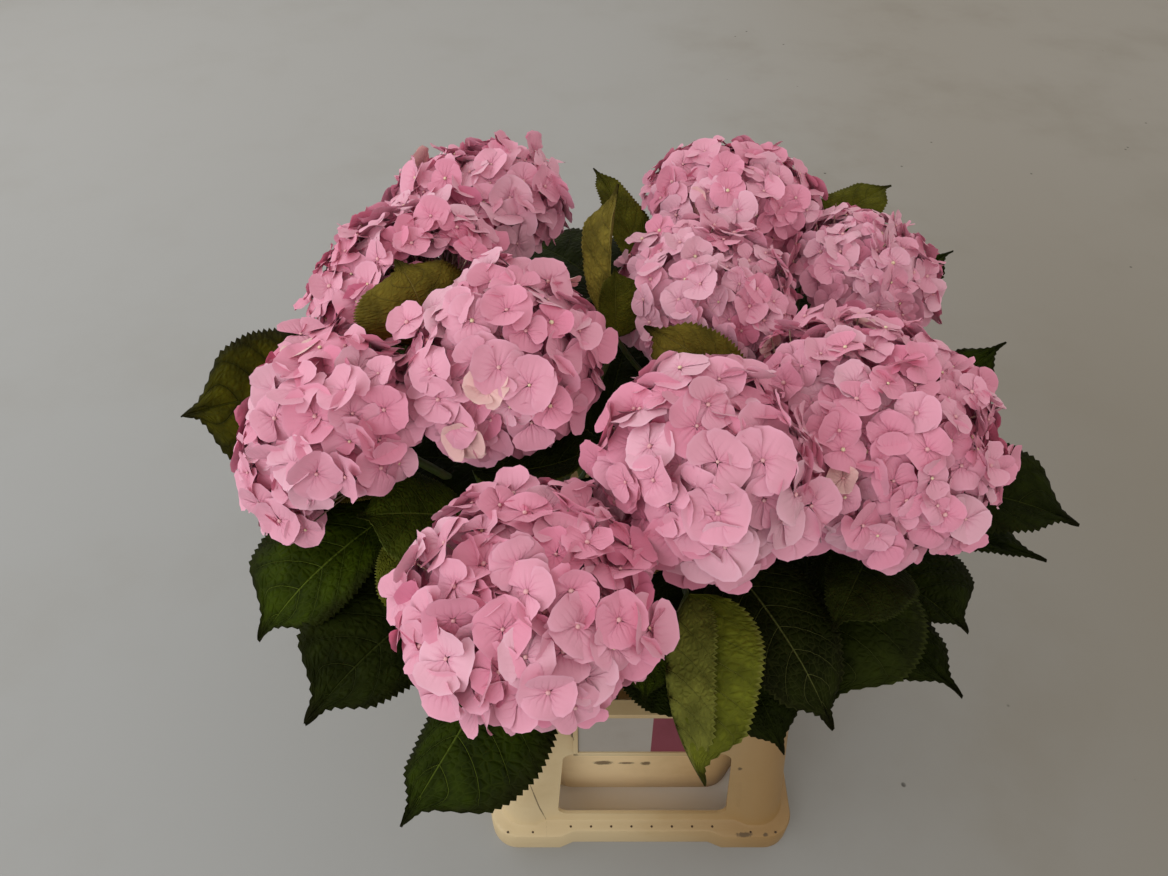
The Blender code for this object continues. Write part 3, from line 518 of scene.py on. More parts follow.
def grained_material(name, colour, stain, amount, roughness, scale=12.0, fine=400.0, depth=0.0002,
                     specular=0.5):
    made, make, shader = new_material(name, colour, roughness, specular)
    given = {"Base": colour, "Stain": stain, "Amount": amount, "Scale": scale, "Fine": fine}
    marks = make.add("ShaderNodeGroup", given, node_tree=built(grain)).outputs
    rough = make.times_plus(marks["Mask"], 0.12, roughness)
    make.feed(shader, {"Base Color": marks["Color"], "Roughness": rough})
    relief(make, shader, marks["Height"], depth, strength=0.5)
    return made


# ---- shared shapes ----


def add_object(name, data):
    obj = bpy.data.objects.new(name, data)
    bpy.context.scene.collection.objects.link(obj)
    return obj


def tree_of(points):
    """A search tree that finds the nearest of these points, by its place in the list."""
    tree = KDTree(len(points))
    for index, point in enumerate(points):
        tree.insert(point, index)
    tree.balance()
    return tree


def object_from(bm, name, materials, smooth=True):
    """Turns a finished bmesh into an object of this name in the scene."""
    mesh = bpy.data.meshes.new(name)
    bm.to_mesh(mesh)
    bm.free()
    for polygon in mesh.polygons:
        polygon.use_smooth = smooth
    for made in materials:
        mesh.materials.append(made)
    return add_object(name, mesh)


def settle(obj, slot, *nodes):
    """The piece rides on the part's only body and stands for its CAD nodes, which it hides; its slot is not
    used.
    """
    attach(obj, "root")
    if nodes:
        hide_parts(*nodes)


def edges_among(verts):
    chosen = set(verts)
    return [edge for edge in {link for vert in chosen for link in vert.link_edges}
            if chosen.issuperset(edge.verts)]


def loft(bm, rings, joined=False):
    """Extrudes a loop through rings of as many points, then caps it or joins it up."""
    ring = bmesh.ops.create_circle(bm, segments=len(rings[0]), radius=1)["verts"]
    first = ring
    for vert, point in zip(ring, rings[0]):
        vert.co = point
    for points in rings[1:]:
        made = bmesh.ops.extrude_edge_only(bm, edges=edges_among(ring))["geom"]
        fresh = {item for item in made if isinstance(item, bmesh.types.BMVert)}
        ring = [next(edge.other_vert(vert) for edge in vert.link_edges
                     if edge.other_vert(vert) in fresh) for vert in ring]
        for vert, point in zip(ring, points):
            vert.co = point
    if joined:
        bmesh.ops.bridge_loops(bm, edges=edges_among(first) + edges_among(ring))
    else:
        bm.faces.new(first)
        bm.faces.new(ring)
    bmesh.ops.recalc_face_normals(bm, faces=bm.faces)


def tube_rings(points, radii, sides, start_along=None, end_along=None):
    """Rings of points round a line, carried along it without a twist."""
    ways = [after - before for before, after in zip(points[:1] + points, points[1:] + points[-1:])]
    ways[0] = start_along or ways[0]
    ways[-1] = end_along or ways[-1]
    across = (points[1] - points[0]).orthogonal()
    rings = []
    for point, radius, way in zip(points, radii, ways):
        along = way.normalized()
        across = (across - along * across.dot(along)).normalized()
        other = along.cross(across)
        turns = [2 * math.pi * side / sides for side in range(sides)]
        rings.append([point + (across * math.cos(turn) + other * math.sin(turn)) * radius
                      for turn in turns])
    return rings


def bend(handles, share):
    """The point at this share of a curve with three handles."""
    start, middle, end = handles
    return start * (1 - share) ** 2 + middle * (2 * share * (1 - share)) + end * share ** 2


def share_at_height(handles, z):
    low, high = 0.0, 1.0
    for _ in range(30):
        middle = (low + high) / 2
        if bend(handles, middle).z < z:
            low = middle
        else:
            high = middle
    return middle


def smoothstep(low, high, value):
    share = min(max((value - low) / (high - low), 0), 1)
    return share * share * (3 - 2 * share)


# ---- the container ----

CORNER_STEPS = 10
RIM_DEPTH = 0.006
FOOT_BAND = 0.031
FLOOR_THICKNESS = 0.0042
WALL_FOOT_HALF = (0.155, 0.207)
WALL_TOP_HALF = (0.135, 0.184)
BUCKET_FOOT_HALF = (0.105, 0.156)
BUCKET_TOP_HALF = (0.127, 0.175)
RIM_HALF = (0.139, 0.188)
SET_BACK = 0.006
SET_BACK_INNER = 0.45
SET_BACK_OUTER = 0.54
WALL_WIDER = 0.20
WINDOW_BOTTOM = 0.045
WINDOW_TOP = 0.1755
WINDOW_RADIUS = 0.012
FRONT_WINDOW = (0.091, 0.083)
SIDE_WINDOW = (0.122, 0.118)
CARD_LEFT = -0.068
CARD_RIGHT = 0.065
CARD_MAUVE = 0.002
CARD_BOTTOM = 0.187
CARD_TOP = 0.2465
CARD_THICKNESS = 0.0009
LIP_WIDTH = 0.005
LIP_DEPTH = 0.0030
LIP_SINK = 0.001
# Below this share of the height under the rim the bucket takes the lit plastic: painted light.
LIT_SHARE = 0.8
CUTTER_REACH = 2.4
SHELF_SINK = 0.003
BUCKET_CHAMFER = 0.006
LEDGE_ROUND = 0.004
LEDGE_BREAK = 0.0012
LEDGE_CORNER = 0.003
WALL_START = 0.007
# How far out of the wall's foot and how far up from the ledge the fillet between them passes.
FILLET = ((0.004, 0.0006), (0.001, 0.002))
PIP_RADIUS = 0.0013
PIP_FLATNESS = 0.35
PIP_LIFT = 0.0003
CORNER_PIPS = (-0.145, -0.118, 0.118, 0.145)
CORNER_PIP_INSET = 0.0055
# The rows of pips: the place of the first, the step to the next and how far in from the foot's side.
ROW_PIPS = 8
LONG_ROW = (-0.084, 0.024, 0.0125)
SHORT_ROW = (-0.077, 0.022, 0.0115)

# Stains and scuffs, and one line of painted shade along a crease: the middle and half size of each, and how
# far it leans along X as it rises.
BUCKET_MARKS = (
    ((-0.042, -0.162, 0.090), (0.0120, 0.020, 0.0075), 0),
    ((0.004, -0.162, 0.088), (0.0065, 0.020, 0.0065), 0),
    ((-0.017, -0.162, 0.089), (0.0100, 0.020, 0.0038), 0),
)
WALL_MARKS = (
    ((0.094, -0.196, 0.146), (0.0030, 0.010, 0.0040), 0),
    # Painted shade along the crease where the left leg's face turns.
    ((-0.112, -0.202, 0.084), (0.0008, 0.060, 0.0560), -0.163),
    ((-0.0735, -0.188, 0.213), (0.0020, 0.010, 0.0055), 0),
    ((0.111, -0.217, 0.031), (0.0100, 0.0030, 0.0040), 0),
    ((0.134, -0.217, 0.031), (0.0035, 0.0024, 0.0040), 0),
)
MARK_BROWN = (0.060, 0.035, 0.015, 1)
MARK_STRENGTH = 0.8
# Painted light: a brighter cream for light that passes through the translucent plastic onto the bucket.
LIT_CREAM = (0.95, 0.74, 0.45, 1)
PLASTIC_STAIN = (0.40, 0.27, 0.11, 1)
# How far the plastic darkens toward +X and near its top: partly stain, partly painted shade.
SHADED_SIDE = (0.48, 0.36, 0.22)


def blot(make, spot, middle, half, lean):
    """A soft-edged mask of one mark."""
    apart = make.add("ShaderNodeVectorMath", {0: spot, 1: middle}, operation="SUBTRACT").outputs[0]
    x, y, z = make.split(apart)
    across = make.times_plus(z, -lean, x)
    moved = make.add("ShaderNodeCombineXYZ", {0: across, 1: y, 2: z})
    scaled = make.add("ShaderNodeVectorMath", {0: moved.outputs[0], 1: half}, operation="DIVIDE")
    far = make.add("ShaderNodeVectorMath", {0: scaled.outputs[0]}, operation="LENGTH").outputs["Value"]
    rough = make.times_plus(make.noise(spot, 350.0, 2.0), 0.9, far)
    return make.ramp(rough, 1.0, 1.5, 1.0, 0.0)


def aged_plastic(name, colour, stain, amount, marks):
    """Cream plastic with its marks; darker and more brown toward +X, partly stain and partly painted shade
    of the foliage, and near the top, painted shade of the leaves above.
    """
    made = grained_material(name, colour, stain, amount, roughness=0.42, scale=7.0)
    make, shader = Nodes(made.node_tree), made.node_tree.nodes["Principled BSDF"]
    given = shader.inputs["Base Color"].links[0].from_socket
    spot = make.object_point()
    x, _, z = make.split(spot)
    # Painted shade: toward +X partly a stain and partly the foliage's shade, near the top the shade of the
    # leaves above.
    right = make.maths("MAXIMUM", make.ramp(x, -0.08, 0.15), make.ramp(z, 0.165, 0.225, 0.0, 0.40))
    painted_shade_brown = (*(part * share for part, share in zip(colour, SHADED_SIDE)), 1)
    shade = make.mix(right, given, painted_shade_brown)
    for middle, half, lean in marks:
        stained = make.times(blot(make, spot, middle, half, lean), MARK_STRENGTH)
        shade = make.mix(stained, shade, MARK_BROWN)
    make.feed(shader, {"Base Color": shade})
    return made


def outline(half, z, radius, set_back=0.0, wider=0.0):
    """Points round a rounded rectangle, each side with a middle stretch that may be set back."""
    points = []
    for quarter in range(4):
        turn = Matrix.Rotation(math.radians(90 * quarter), 3, "Z")
        size = half if quarter % 2 == 0 else half[::-1]
        inner, outer = SET_BACK_INNER + wider, SET_BACK_OUTER + wider
        for share, back in ((-outer, 0), (-inner, 1), (0, 1), (inner, 1), (outer, 0)):
            points.append(turn @ Vector((size[0] - set_back * back, size[1] * share, z)))
        for step in range(CORNER_STEPS + 1):
            angle = math.radians(90 * step / CORNER_STEPS)
            points.append(turn @ Vector((size[0] - radius + radius * math.cos(angle),
                                         size[1] - radius + radius * math.sin(angle), z)))
    return points


def shrunk(half, amount):
    return (half[0] - amount, half[1] - amount)


def wall_half(z):
    share = (z - FOOT_BAND) / (settings().container.height - FOOT_BAND)
    return tuple(foot + share * (top - foot) for foot, top in zip(WALL_FOOT_HALF, WALL_TOP_HALF))


def cut_window(skirt, along_y, halves):
    """Cuts a window with rounded corners, narrower at its top, through two opposite walls."""
    reach = CUTTER_REACH * max(settings().container.foot_half)
    bm = bmesh.new()
    bmesh.ops.create_cube(bm, size=1)
    for vert in bm.verts:
        across = vert.co.x * 2 * (halves[1] if vert.co.z > 0 else halves[0])
        height = WINDOW_TOP if vert.co.z > 0 else WINDOW_BOTTOM
        vert.co = (across, vert.co.y * reach, height)
    long_edges = [edge for edge in bm.edges
                  if abs(edge.verts[0].co.y - edge.verts[1].co.y) > reach / 2]
    bmesh.ops.bevel(bm, geom=long_edges, offset=WINDOW_RADIUS, segments=8, profile=0.5,
                    affect="EDGES", material=-1)
    if not along_y:
        bmesh.ops.rotate(bm, verts=bm.verts, matrix=Matrix.Rotation(math.radians(90), 3, "Z"))
    cutter = object_from(bm, "window_cutter", ())
    cut = skirt.modifiers.new("Window", "BOOLEAN")
    cut.operation = "DIFFERENCE"
    cut.solver = "EXACT"
    cut.object = cutter
    bpy.context.view_layer.update()
    baked = bpy.data.meshes.new_from_object(skirt.evaluated_get(bpy.context.evaluated_depsgraph_get()))
    skirt.modifiers.clear()
    skirt.data = baked
    bpy.data.objects.remove(cutter, do_unlink=True)


def soften(obj, width, angle=35):
    """Rounds the edges of a hard piece and shades the rest smooth."""
    for polygon in obj.data.polygons:
        polygon.use_smooth = True
    obj.data.set_sharp_from_angle(angle=math.radians(angle))
    bevel = obj.modifiers.new("Edges", "BEVEL")
    bevel.width = width
    bevel.segments = 2
    bevel.limit_method = "ANGLE"
    bevel.angle_limit = math.radians(angle)
    bevel.use_clamp_overlap = True


def slab(bm, left, right, bottom, top, inside, outside):
    """A slab that follows the slope of the front wall between two distances from it."""
    corners = bmesh.ops.create_cube(bm, size=2)["verts"]
    for vert in corners:
        z = top if vert.co.z > 0 else bottom
        out = outside if vert.co.y < 0 else inside
        vert.co = (right if vert.co.x > 0 else left, -wall_half(z)[1] - out, z)
    return corners


class HYDRANGEA_OT_container(bpy.types.Operator):
    """Make the bucket, the outer wall with its windows and foot, and the marks on them"""

    bl_idname = "hydrangea.container"
    bl_label = "Container"

    def execute(self, context):
        given = settings().container
        cream = tuple(given.cream)
        plain = aged_plastic("cream_plastic", cream, PLASTIC_STAIN, 0.45, ())
        lit = aged_plastic("cream_plastic_lit", LIT_CREAM, PLASTIC_STAIN, 0.45, BUCKET_MARKS)
        worn_and_shaded = aged_plastic("cream_plastic_outer", cream, PLASTIC_STAIN, 0.55, WALL_MARKS)
        self.bucket(given, [plain, lit])
        self.outer_wall(given, worn_and_shaded)
        self.card_pocket(given.height - RIM_DEPTH - GAP, worn_and_shaded)
        self.ledge_pips(tuple(given.foot_half))
        return {"FINISHED"}

    def bucket(self, given, materials):
        """The open inner tub with its rim; its lower part takes the lit copy of the plastic, painted light
        for light that passes through the translucent walls.
        """
        corner, plastic, height = given.corner, given.plastic, given.height
        under = height - RIM_DEPTH
        inner_foot, inner_top = shrunk(BUCKET_FOOT_HALF, plastic), shrunk(BUCKET_TOP_HALF, plastic)
        bm = bmesh.new()
        loft(bm, (
            outline(shrunk(BUCKET_FOOT_HALF, BUCKET_CHAMFER), 0.0, corner - BUCKET_CHAMFER),
            outline(BUCKET_FOOT_HALF, BUCKET_CHAMFER, corner),
            outline(BUCKET_TOP_HALF, under, corner),
            outline(RIM_HALF, under, corner),
            outline(RIM_HALF, height, corner),
            outline(inner_top, height, corner - plastic),
            outline(inner_foot, FLOOR_THICKNESS + BUCKET_CHAMFER, corner - plastic),
            outline(shrunk(inner_foot, BUCKET_CHAMFER), FLOOR_THICKNESS,
                    corner - plastic - BUCKET_CHAMFER)))
        bucket = object_from(bm, "bucket_shell", materials)
        # The lower faces take the lit copy of the plastic, painted light.
        for polygon in bucket.data.polygons:
            polygon.material_index = int(polygon.center.z < under * LIT_SHARE)
        soften(bucket, 0.0012)
        settle(bucket, "container", "bucket")

    def outer_wall(self, given, worn_and_shaded):
        """The outer wall on its wider foot, set back in the middle of each side, with its windows."""
        corner, plastic, foot = given.corner, given.plastic, tuple(given.foot_half)
        top, inner_corner = given.height - RIM_DEPTH - GAP, corner - plastic
        rings = [
            outline(foot, 0, corner, SET_BACK),
            outline(foot, FOOT_BAND - LEDGE_ROUND, corner, SET_BACK),
            outline(shrunk(foot, LEDGE_BREAK), FOOT_BAND - LEDGE_BREAK, corner, SET_BACK),
            outline(shrunk(foot, LEDGE_ROUND), FOOT_BAND, corner - LEDGE_CORNER, SET_BACK * 0.9)]
        rings += [outline(shrunk(WALL_FOOT_HALF, -out), FOOT_BAND + rise, corner, SET_BACK, WALL_WIDER)
                  for out, rise in FILLET]
        rings += [
            outline(wall_half(FOOT_BAND + WALL_START), FOOT_BAND + WALL_START, corner, SET_BACK, WALL_WIDER),
            outline(wall_half(top), top, corner, 0, WALL_WIDER),
            outline(shrunk(wall_half(top), plastic), top, inner_corner),
            outline(shrunk(WALL_FOOT_HALF, plastic), FOOT_BAND - plastic, inner_corner, SET_BACK,
                    WALL_WIDER),
            outline(shrunk(foot, plastic), FOOT_BAND - plastic - LEDGE_CORNER, inner_corner, SET_BACK),
            outline(shrunk(foot, plastic), 0, inner_corner, SET_BACK)]
        bm = bmesh.new()
        loft(bm, rings, joined=True)
        skirt = object_from(bm, "outer_wall", [worn_and_shaded])
        cut_window(skirt, True, FRONT_WINDOW)
        cut_window(skirt, False, SIDE_WINDOW)
        soften(skirt, 0.0011)
        settle(skirt, "container", "skirt")

    def card_pocket(self, top, worn_and_shaded):
        """The lip under and beside the card, and above it a dark strip, painted shadow in the slot under the
        rim.
        """
        left, right, bottom = CARD_LEFT - LIP_WIDTH, CARD_RIGHT + LIP_WIDTH, CARD_BOTTOM - LIP_WIDTH
        bm = bmesh.new()
        slab(bm, left, right, bottom, CARD_BOTTOM - GAP, -SHELF_SINK, LIP_DEPTH)
        slab(bm, left, CARD_LEFT - GAP, bottom, CARD_TOP, -LIP_SINK, LIP_DEPTH)
        slab(bm, CARD_RIGHT + GAP, right, bottom, CARD_TOP, -LIP_SINK, LIP_DEPTH)
        # A dark strip as painted shadow in the gap between the card and the rim.
        slot = slab(bm, CARD_LEFT, CARD_RIGHT, CARD_TOP + GAP, top, -LIP_SINK, LIP_DEPTH * 0.4)
        for face in {face for vert in slot for face in vert.link_faces}:
            face.material_index = 1
        shadow, _, _ = new_material("slot_shadow", (0.012, 0.010, 0.008, 1), roughness=0.8, specular=0.1)
        pocket = object_from(bm, "card_pocket", [worn_and_shaded, shadow])
        soften(pocket, 0.0006)
        settle(pocket, "container")

    def ledge_pips(self, foot):
        """Small round pips along the ledge of the foot, on all four sides."""
        bm = bmesh.new()
        (x_start, x_step, y_inset), (y_start, y_step, x_inset) = SHORT_ROW, LONG_ROW
        for way in (1, -1):
            for x in CORNER_PIPS:
                self.pip(bm, x, way * (foot[1] - CORNER_PIP_INSET))
            for step in range(ROW_PIPS):
                self.pip(bm, x_start + x_step * step, way * (foot[1] - y_inset))
                self.pip(bm, way * (foot[0] - x_inset), y_start + y_step * step)
        brown = grained_material("pip_brown", (0.055, 0.028, 0.010, 1), (0.02, 0.01, 0.004, 1), amount=0.5,
                                 roughness=0.6)
        settle(object_from(bm, "ledge_pips", [brown]), "container")

    def pip(self, bm, x, y):
        made = bmesh.ops.create_uvsphere(bm, u_segments=10, v_segments=6, radius=PIP_RADIUS)["verts"]
        bmesh.ops.scale(bm, verts=made, vec=(1, 1, PIP_FLATNESS))
        bmesh.ops.translate(bm, verts=made, vec=(x, y, FOOT_BAND + PIP_LIFT))


CARD_COLOURS = {
    "card_white": ((0.33, 0.30, 0.27, 1), (0.27, 0.24, 0.20, 1)),
    "card_mauve": ((0.18, 0.036, 0.054, 1), (0.14, 0.03, 0.04, 1)),
}


class HYDRANGEA_OT_card(bpy.types.Operator):
    """Make the label card, white with a mauve end, left bare"""

    bl_idname = "hydrangea.card"
    bl_label = "Label card"

    def execute(self, context):
        bm = bmesh.new()
        slab(bm, CARD_LEFT, CARD_RIGHT, CARD_BOTTOM, CARD_TOP, GAP, GAP + CARD_THICKNESS)
        bmesh.ops.bisect_plane(bm, geom=bm.verts[:] + bm.edges[:] + bm.faces[:],
                               plane_co=(CARD_MAUVE, 0, 0), plane_no=(1, 0, 0))
        for face in bm.faces:
            face.material_index = int(face.calc_center_median().x > CARD_MAUVE)
        papers = [grained_material(name, colour, stain, amount=0.4, roughness=0.55, scale=25.0, fine=900.0,
                                   depth=0.0001, specular=0.3)
                  for name, (colour, stain) in CARD_COLOURS.items()]
        settle(object_from(bm, "card", papers, smooth=False), "label_card", "label_card")
        return {"FINISHED"}


# ---- stems and leaf stalks ----

STEM_SPLIT = 0.335
SHOULDER_HEIGHT = 0.33
FOOT_SPREAD = (0.26, 0.48)
SHOULDER_SPREAD = (0.28, 0.52)
PETIOLE_LIFT = 0.25
PETIOLE_TUCK = (0.05, 0.10)
PETIOLE_SIDES = 7
NODE_SWELL = 0.0012
NODE_REACH = 0.006
STEM_TOP = 0.95
STEM_STAIN = (0.16, 0.09, 0.03, 1)
STEM_RINGS = 34
STEM_SIDES = 12


def head_centre(head):
    return Vector((head.x, head.y, head.z))


def head_axis(head):
    return Vector((head.lean_x, head.lean_y, 1)).normalized()


def stem_curve(head):
    """Foot, shoulder and top of a stem: the three handles of its bend."""
    foot = Vector((FOOT_SPREAD[0] * head.x, FOOT_SPREAD[1] * head.y, FLOOR_THICKNESS + GAP))
    shoulder = Vector((SHOULDER_SPREAD[0] * head.x, SHOULDER_SPREAD[1] * head.y, SHOULDER_HEIGHT))
    top = head_centre(head) - head_axis(head) * head.depth * STEM_TOP
    return foot, shoulder, top


def lower_leaves(number, head):
    """The leaves of the pairs that stand crosswise on this stem under its head."""
    handles = stem_curve(head)
    turn = random.Random(SEED * number).uniform(-PAIR_TURN, PAIR_TURN)
    outward = math.degrees(math.atan2(head.y, head.x)) + turn + PAIR_TURN_BACK.get(number, 0)
    made = []
    for pair, side in LOWER_LEAVES.get(number, ()):
        height = PAIR_NODES[pair]
        node = bend(handles, share_at_height(handles, height))
        heading = math.radians(outward + (0, PAIR_OPPOSITE)[side] + 90 * pair)
        away = Vector((math.cos(heading), math.sin(heading), 0))
        base = node + away * PAIR_PETIOLE + UP * PAIR_RISE
        made.append(Leaf(number, height, base, base + away * PAIR_LENGTH, PAIR_WIDTH, PAIR_TONES[side],
                         PAIR_BOW, PAIR_DROOP))
    return made


def leaves_of(number, head):
    return [leaf for leaf in LEAVES if leaf.stem == number] + lower_leaves(number, head)


def leaf_frame(leaf):
    """The blade's length, its direction, its sideways direction, its upper side and its bow's way."""
    base, tip = Vector(leaf.base), Vector(leaf.tip)
    along = tip - base
    length = along.length
    along.normalize()
    level = along.cross(UP).normalized()
    upper = level.cross(along)
    roll = math.radians(leaf.roll)
    side = level * math.cos(roll) + upper * math.sin(roll)
    return length, along, side, side.cross(along), upper


class HYDRANGEA_OT_stems(bpy.types.Operator):
    """Make each stem from its cut foot to its flower head, with its nodes and leaf stalks"""

    bl_idname = "hydrangea.stems"
    bl_label = "Stems"

    def execute(self, context):
        green = grained_material("stem_green", tuple(settings().stems.green), STEM_STAIN, amount=0.45,
                                 roughness=0.42, scale=60.0, fine=700.0, depth=0.0003, specular=0.4)
        for number, head in HEADS.items():
            bm = bmesh.new()
            self.stem(bm, head, {leaf.node for leaf in leaves_of(number, head)})
            for leaf in leaves_of(number, head):
                self.petiole(bm, head, leaf)
            settle(object_from(bm, f"stalk_{number:02d}", [green]), "stems", f"stem_{number:02d}")
        return {"FINISHED"}

    def stem(self, bm, head, nodes):
        given = settings().stems
        handles = stem_curve(head)
        points = [bend(handles, ring / STEM_RINGS) for ring in range(STEM_RINGS + 1)]
        radii = []
        for point in points:
            share = min(point.z / STEM_SPLIT, 1)
            swell = max(math.exp(-((point.z - node) / NODE_REACH) ** 2) for node in nodes)
            radii.append(given.foot_radius + (given.radius - given.foot_radius) * share
                         + NODE_SWELL * swell)
        loft(bm, tube_rings(points, radii, STEM_SIDES, UP, head_axis(head)))

    def petiole(self, bm, head, leaf):
        """A leaf stalk from inside the stem to just under the foot of the blade."""
        radius = settings().stems.petiole_radius
        handles = stem_curve(head)
        node = bend(handles, share_at_height(handles, leaf.node))
        length, along, side, normal, upper = leaf_frame(leaf)
        base = Vector(leaf.base)
        middle = (node + base) / 2 - UP * PETIOLE_LIFT * (base - node).length
        points = [bend((node, middle, base), step / 8) for step in range(9)]
        for reach in PETIOLE_TUCK:
            rise = 4 * length * reach * (1 - reach)
            points.append(base + along * length * reach + upper * leaf.bow * rise
                          + side * leaf.sway * rise - normal * radius)
        count = len(points) - 1
        radii = [radius * (1.35 - 0.35 * min(step / 3, 1)) * (1 - 0.7 * max(0, step - 7) / (count - 7))
                 for step in range(count + 1)]
        loft(bm, tube_rings(points, radii, PETIOLE_SIDES))


# ---- leaves ----

UNDER_CLARITY = 0.7
BLADE_COLUMNS = 12
ROWS_PER_TOOTH = 3
TOOTH_DEPTH = 0.055
LONGEST_BLADE = 0.15
MARGIN_WAVE = 0.05
# The least half width of a blade at its tip, and how much more of it there is toward its foot.
TIP_HALF = 0.0006
FOOT_HALF = 0.0015
ATLAS_MARGIN = 0.02


def leaf_width_share(share, full):
    """Half width of an ovate blade as a share of its greatest, along its length."""
    rounded = math.sin(math.pi * share ** (0.86 + full)) ** 0.62 if 0 < share < 1 else 0.0
    return rounded * (1 - 0.72 * smoothstep(0.78, 0.94, share))


def blade_grid(rows):
    """A flat grid whose map holds where each point lies across and along the blade."""
    bm = bmesh.new()
    bmesh.ops.create_grid(bm, x_segments=BLADE_COLUMNS, y_segments=rows, size=1)
    layer = bm.loops.layers.uv.new("blade")
    bm.loops.layers.uv.new("OFBake")
    for face in bm.faces:
        for loop in face.loops:
            loop[layer].uv = ((loop.vert.co.x + 1) / 2, (loop.vert.co.y + 1) / 2)
    return bm


def half_width(leaf, teeth, across, share):
    """Half the width of this half of the blade, along its length and with its teeth."""
    row = round(share * teeth * ROWS_PER_TOOTH)
    tooth = (row % ROWS_PER_TOOTH) / (ROWS_PER_TOOTH - 1) - 0.5 if share < 0.985 else -0.5
    half = leaf.width / 2 * leaf_width_share(share, leaf.full)
    half *= leaf.shares[0 if across > 0 else 1]
    toothed = smoothstep(0.7, 1, abs(across)) * smoothstep(0, 0.05, share) * smoothstep(0.96, 0.90, share)
    half += TOOTH_DEPTH * leaf.width / 2 * tooth * toothed
    return max(half, TIP_HALF + FOOT_HALF * smoothstep(0.97, 0.9, share))


def swelling(vein_pairs, depth, off, share):
    """How far the blade rises between its side veins and sinks along its midrib."""
    phase = vein_pairs * (share - VEIN_RISE * off ** VEIN_CURVE)
    swell = abs(math.sin(math.pi * phase)) ** 0.65
    rise = depth * (swell - 0.6) * smoothstep(0, 0.12, off) * (1 - 0.5 * off)
    rise *= math.sin(math.pi * min(max(share, 0.02), 0.98)) ** 0.5
    return rise - depth * 0.9 * (1 - smoothstep(0, 0.10, off))


def shape_blade(bm, leaf, rng):
    """Gives the grid the leaf's outline, teeth, folds, veins and bend."""
    given = settings().leaves
    length, along, side, normal, upper = leaf_frame(leaf)
    base = Vector(leaf.base)
    wave = [rng.uniform(0, 2 * math.pi) for _ in range(2)]
    turns = rng.uniform(1.6, 2.6)
    depth = given.quilting * length / LONGEST_BLADE
    for vert in bm.verts:
        across, share = vert.co.x, (vert.co.y + 1) / 2
        off = abs(across)
        fold = math.radians(leaf.fold[0] if across > 0 else leaf.fold[1])
        lean = fold - math.radians(leaf.arch) * off ** 1.5 / 2
        reach = half_width(leaf, given.teeth, across, share) * off
        rise = swelling(given.vein_pairs, depth, off, share)
        edge = wave[0] if across > 0 else wave[1]
        rise += MARGIN_WAVE * leaf.width / 2 * off ** 2.5 * math.sin(2 * math.pi * turns * share + edge)
        flip = 1 if math.cos(lean) > 0 else -1
        middle = base + along * length * share
        middle += upper * leaf.bow * length * 4 * share * (1 - share)
        middle -= upper * leaf.droop * length * max(0, (share - 0.6) / 0.4) ** 2
        middle += side * leaf.sway * length * 4 * share * (1 - share)
        sign = 1 if across > 0 else -1
        vert.co = (middle + side * sign * reach * math.cos(lean)
                   + normal * (reach * math.sin(lean) + rise * flip))


def thicken(bm, thickness):
    """Turns the sheet into a thin closed blade, its under side in the second half of its faces."""
    bm.normal_update()
    normals = {vert: vert.normal.copy() for vert in bm.verts}
    under = bm.faces[:]
    made = bmesh.ops.extrude_face_region(bm, geom=under, use_keep_orig=True)["geom"]
    fresh = [item for item in made if isinstance(item, bmesh.types.BMVert)]
    bm.normal_update()
    for face in under:
        face.material_index = 1
    bmesh.ops.reverse_faces(bm, faces=under)
    kept = list(normals)
    tree = tree_of([vert.co for vert in kept])
    for vert in fresh:
        vert.co += normals[kept[tree.find(vert.co)[1]]] * thickness


def place_in_atlas(bm, cell, cells):
    """Lays the upper and under side of this leaf in their own cells of the baking map."""
    blade, atlas = bm.loops.layers.uv["blade"], bm.loops.layers.uv["OFBake"]
    for face in bm.faces:
        for loop in face.loops:
            place = loop[blade].uv
            loop[atlas].uv = ((cell + ATLAS_MARGIN + place.x * (1 - 2 * ATLAS_MARGIN)) / cells,
                              (face.material_index + ATLAS_MARGIN + place.y * (1 - 2 * ATLAS_MARGIN)) / 2)


class HYDRANGEA_OT_leaves(bpy.types.Operator):
    """Make the toothed, quilted blades of each stem"""

    bl_idname = "hydrangea.leaves"
    bl_label = "Leaves"

    def execute(self, context):
        given = settings().leaves
        tones = {}
        for name, tone in LEAF_TONES.items():
            upper, vein, under = ((*colour, 1) for colour in tone[:3])
            tones[name] = (
                leaf_material(f"leaf_{name}", upper, vein, *tone[3:], roughness=0.42),
                leaf_material(f"leaf_{name}_under", under, vein, UNDER_CLARITY, tone.fringe, shade=0,
                              roughness=0.55))
        grid = blade_grid(given.teeth * ROWS_PER_TOOTH)
        for number, head in HEADS.items():
            leaves = leaves_of(number, head)
            used = sorted({leaf.tone for leaf in leaves})
            whole = bmesh.new()
            for index, leaf in enumerate(leaves):
                bm = grid.copy()
                shape_blade(bm, leaf, random.Random(SEED * 100 + number * 10 + index))
                thicken(bm, given.thickness)
                place_in_atlas(bm, index, len(leaves))
                for face in bm.faces:
                    face.material_index += 2 * used.index(leaf.tone)
                self.move_into(whole, bm)
            materials = [made for tone in used for made in tones[tone]]
            settle(object_from(whole, f"foliage_{number:02d}", materials), "leaves", f"leaves_{number:02d}")
        grid.free()
        return {"FINISHED"}

    def move_into(self, whole, bm):
        """Adds a finished blade to the mesh of its stem's leaves."""
        single = bpy.data.meshes.new("blade")
        bm.to_mesh(single)
        bm.free()
        whole.from_mesh(single)
        bpy.data.meshes.remove(single)


# ---- flower heads ----

PETAL_CELLS = 6
PETAL_CLAW = 0.05
